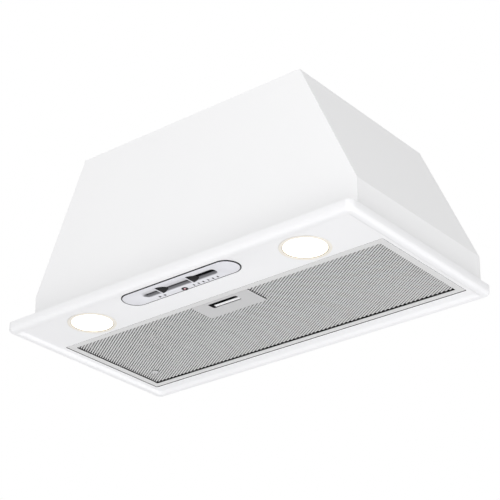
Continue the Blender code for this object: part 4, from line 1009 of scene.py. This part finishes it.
wheel = {
    "center": (0, -29.6, 118), "radius": 62, "root": 54, "half": 38, "rim": 4, "disc": 1.5, "blades": 40,
    "hub": (9, -4, 12), "bore": 4.3, "bladeSheet": 1.1, "bladeLean": 13.6, "bladeGap": 0.4, "bladeSteps": 4,
    "segments": 96,
}


def bladeForm():
    # One curved blade on each side of the wheel's middle disc.
    w = wheel
    root, radius, steps, gap = w["root"], w["radius"], w["bladeSteps"], w["bladeGap"]
    form = bmesh.new()
    for side in (-1, 1):
        ends = [side * x * mm for x in (w["disc"] / 2, w["half"] - w["rim"] / 2)]
        rows = []
        for step in range(steps + 1):
            share = step / steps
            lean = math.radians(w["bladeLean"]) * share * share
            middle = root + gap + (radius - root - 2 * gap) * share
            for sheet in (-0.5, 0.5):
                turn = lean + sheet * w["bladeSheet"] / middle
                y, z = middle * math.cos(turn) * mm, middle * math.sin(turn) * mm
                rows.append([form.verts.new((x, y, z)) for x in ends])
        for step in range(steps):
            a, b, c, d = rows[2 * step:2 * step + 4]
            form.faces.new((a[0], c[0], c[1], a[1]))
            form.faces.new((b[0], b[1], d[1], d[0]))
            form.faces.new((a[0], b[0], d[0], c[0]))
            form.faces.new((a[1], c[1], d[1], b[1]))
        form.faces.new((rows[0][0], rows[0][1], rows[1][1], rows[1][0]))
        form.faces.new((rows[-2][0], rows[-1][0], rows[-1][1], rows[-2][1]))
    return fresh("bladeForm", form)


def wheelBody():
    # Disc with its hub, and the two end rings, joined in one mesh.
    w = wheel
    hubRadius, hubLow, hubHigh = w["hub"]
    root, radius, half, disc, bore = w["root"], w["radius"], w["half"], w["disc"], w["bore"]
    profiles = [[
        (bore, hubLow), (hubRadius, hubLow), (hubRadius, -disc), (radius, -disc), (radius, disc),
        (hubRadius, disc), (hubRadius, hubHigh), (bore, hubHigh)]]
    for low, high in ((-half, -half + w["rim"]), (half - w["rim"], half)):
        profiles.append([(root, low), (radius, low), (radius, high), (root, high)])
    whole = bmesh.new()
    for profile in profiles:
        part = turned(profile, w["center"], w["segments"], "X", closed=True)
        bmesh.ops.recalc_face_normals(part, faces=part.faces)
        held = bpy.data.meshes.new("held")
        part.to_mesh(held)
        part.free()
        whole.from_mesh(held)
        bpy.data.meshes.remove(held)
    base = bpy.data.meshes.new("wheel")
    whole.to_mesh(base)
    whole.free()
    return base


def makeWheel():
    blade = bladeForm()
    sizes = {
        "Blades": wheel["blades"], "Center": tuple(part * mm for part in wheel["center"]), "Form": blade,
        "Material": finishes["darkPlastic"][0],
    }
    net, put = nodeTree("bladeRing", sizes)
    points = net.wire("GeometryNodeMeshLine", {}, {
        "Count": put["Blades"], "Start Location": put["Center"], "Offset": (0, 0, 0)})
    turn = net.wire("GeometryNodeInputIndex") * (2 * math.pi) / put["Blades"]
    rotation = net.wire("ShaderNodeCombineXYZ", {}, {0: turn})
    form = net.wire("GeometryNodeObjectInfo", {}, {"Object": put["Form"]}, "Geometry")
    ring = net.wire("GeometryNodeInstanceOnPoints", {}, {
        "Points": points, "Instance": form, "Rotation": rotation})
    both = net.node("GeometryNodeJoinGeometry")
    net.tree.links.new(ring.socket, both.inputs[0])
    net.tree.links.new(put["Geometry"].socket, both.inputs[0])
    finishTree(net, Wire(net, both.outputs[0]), put["Material"])
    piece = grow("fanWheel", wheelBody(), net, sizes)
    bpy.data.objects.remove(blade)
    piece.data.shade_smooth()
    piece.data.set_sharp_from_angle(angle=smoothAngle)
    dress(piece, "darkPlastic", "fan", ["impeller"])


makeWheel()
print("blower made")


# Electrical parts.

electrics = {
    "terminal_box": ("darkPlastic", 0.5), "terminal_lid": ("darkPlastic", 0.4),
    "terminal_block": ("whiteFrame", 0.3), "cable_gland": ("darkPlastic", 0.3),
    "capacitor": ("motorGrey", 0.8, 3, "housing", "capacitorCan"),
    "capacitor_clip": ("zincSteel", 0.2, 1),
}

softCopies(electrics)
print("electrical parts made")


# Screws.

screws = {
    "head": (3.0, 1.6), "smallHead": (2.0, 1.2),
    "headForm": ((1, 0), (1, 0.45), (0.86, 0.8), (0.6, 1), (0.1, 1)),
    "crossArm": 1.7, "crossWidth": 0.7, "crossDepth": 0.8, "segments": 20, "tipShare": 0.6, "tip": 0.4,
    "frame": ((-223, -99.8, 14.3), (223, -99.8, 14.3), (-189, 132.6, 14.3), (189, 132.6, 14.3)),
    "panel": ((-97.55, -98, 6.8), (86.55, -98, 6.8)),
    "collar": tuple((i * 49.497, 16.4 + j * 49.497, 228.1) for i in (-1, 1) for j in (-1, 1)),
    "shanks": {"frame": (1.4, -8.1), "panel": (1.0, -2.5), "collar": (1.4, -6.4), "motor": (1.4, -5.2)},
}


def screwForm(radius, height, shank, length):
    # Pan head with a cross recess on a plain shank, standing on its seat at the origin.
    profile = [(shank * screws["tipShare"], length), (shank, length + screws["tip"]), (shank, 0)]
    profile += [(radius * out, height * up) for out, up in screws["headForm"]]
    form = fresh("screwForm", turned(profile, (0, 0, 0), screws["segments"]))
    grown = radius / screws["head"][0]
    arm, width, depth = (screws[key] * grown for key in ("crossArm", "crossWidth", "crossDepth"))
    low, high = height - depth, height + over
    arms = [block((-x, -y, low), (x, y, high)) for x, y in ((arm, width / 2), (width / 2, arm))]
    carve(form, arms)
    return form


def makeScrews():
    head, smallHead = screws["head"], screws["smallHead"]
    upright, sideways = (0.0, 0.0, 0.0), (0.0, -math.pi / 2, 0.0)
    motor = []
    for number in (1, 2, 3):
        low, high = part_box(f"motor_screw_{number}")
        middle = (low + high) / 2 / mm
        motor.append((low.x / mm + head[1], middle.y, middle.z))
    corners = [f"{end}_{side}" for end in ("front", "rear") for side in ("left", "right")]
    groups = (
        ("frame", screws["frame"], head, upright, corners),
        ("panel", screws["panel"], smallHead, upright, ("left", "right")),
        ("collar", screws["collar"], head, upright, corners),
        ("motor", motor, head, sideways, (1, 2, 3)),
    )
    for key, points, size, turn, ends in groups:
        name = f"{key}Screws"
        form = screwForm(*size, *screws["shanks"][key])
        sizes = {"Form": form, "Turn": turn, "Material": finishes["zincSteel"][0]}
        net, put = nodeTree(name, sizes)
        geometry = net.wire("GeometryNodeObjectInfo", {}, {"Object": put["Form"]}, "Geometry")
        row = net.wire("GeometryNodeInstanceOnPoints", {}, {
            "Points": put["Geometry"], "Instance": geometry, "Rotation": put["Turn"]})
        finishTree(net, row, put["Material"])
        piece = grow(name, pointMesh(name, points), net, sizes)
        bpy.data.objects.remove(form)
        dress(piece, "zincSteel", "housing", [f"{key}_screw_{end}" for end in ends])


makeScrews()
print("screws made")
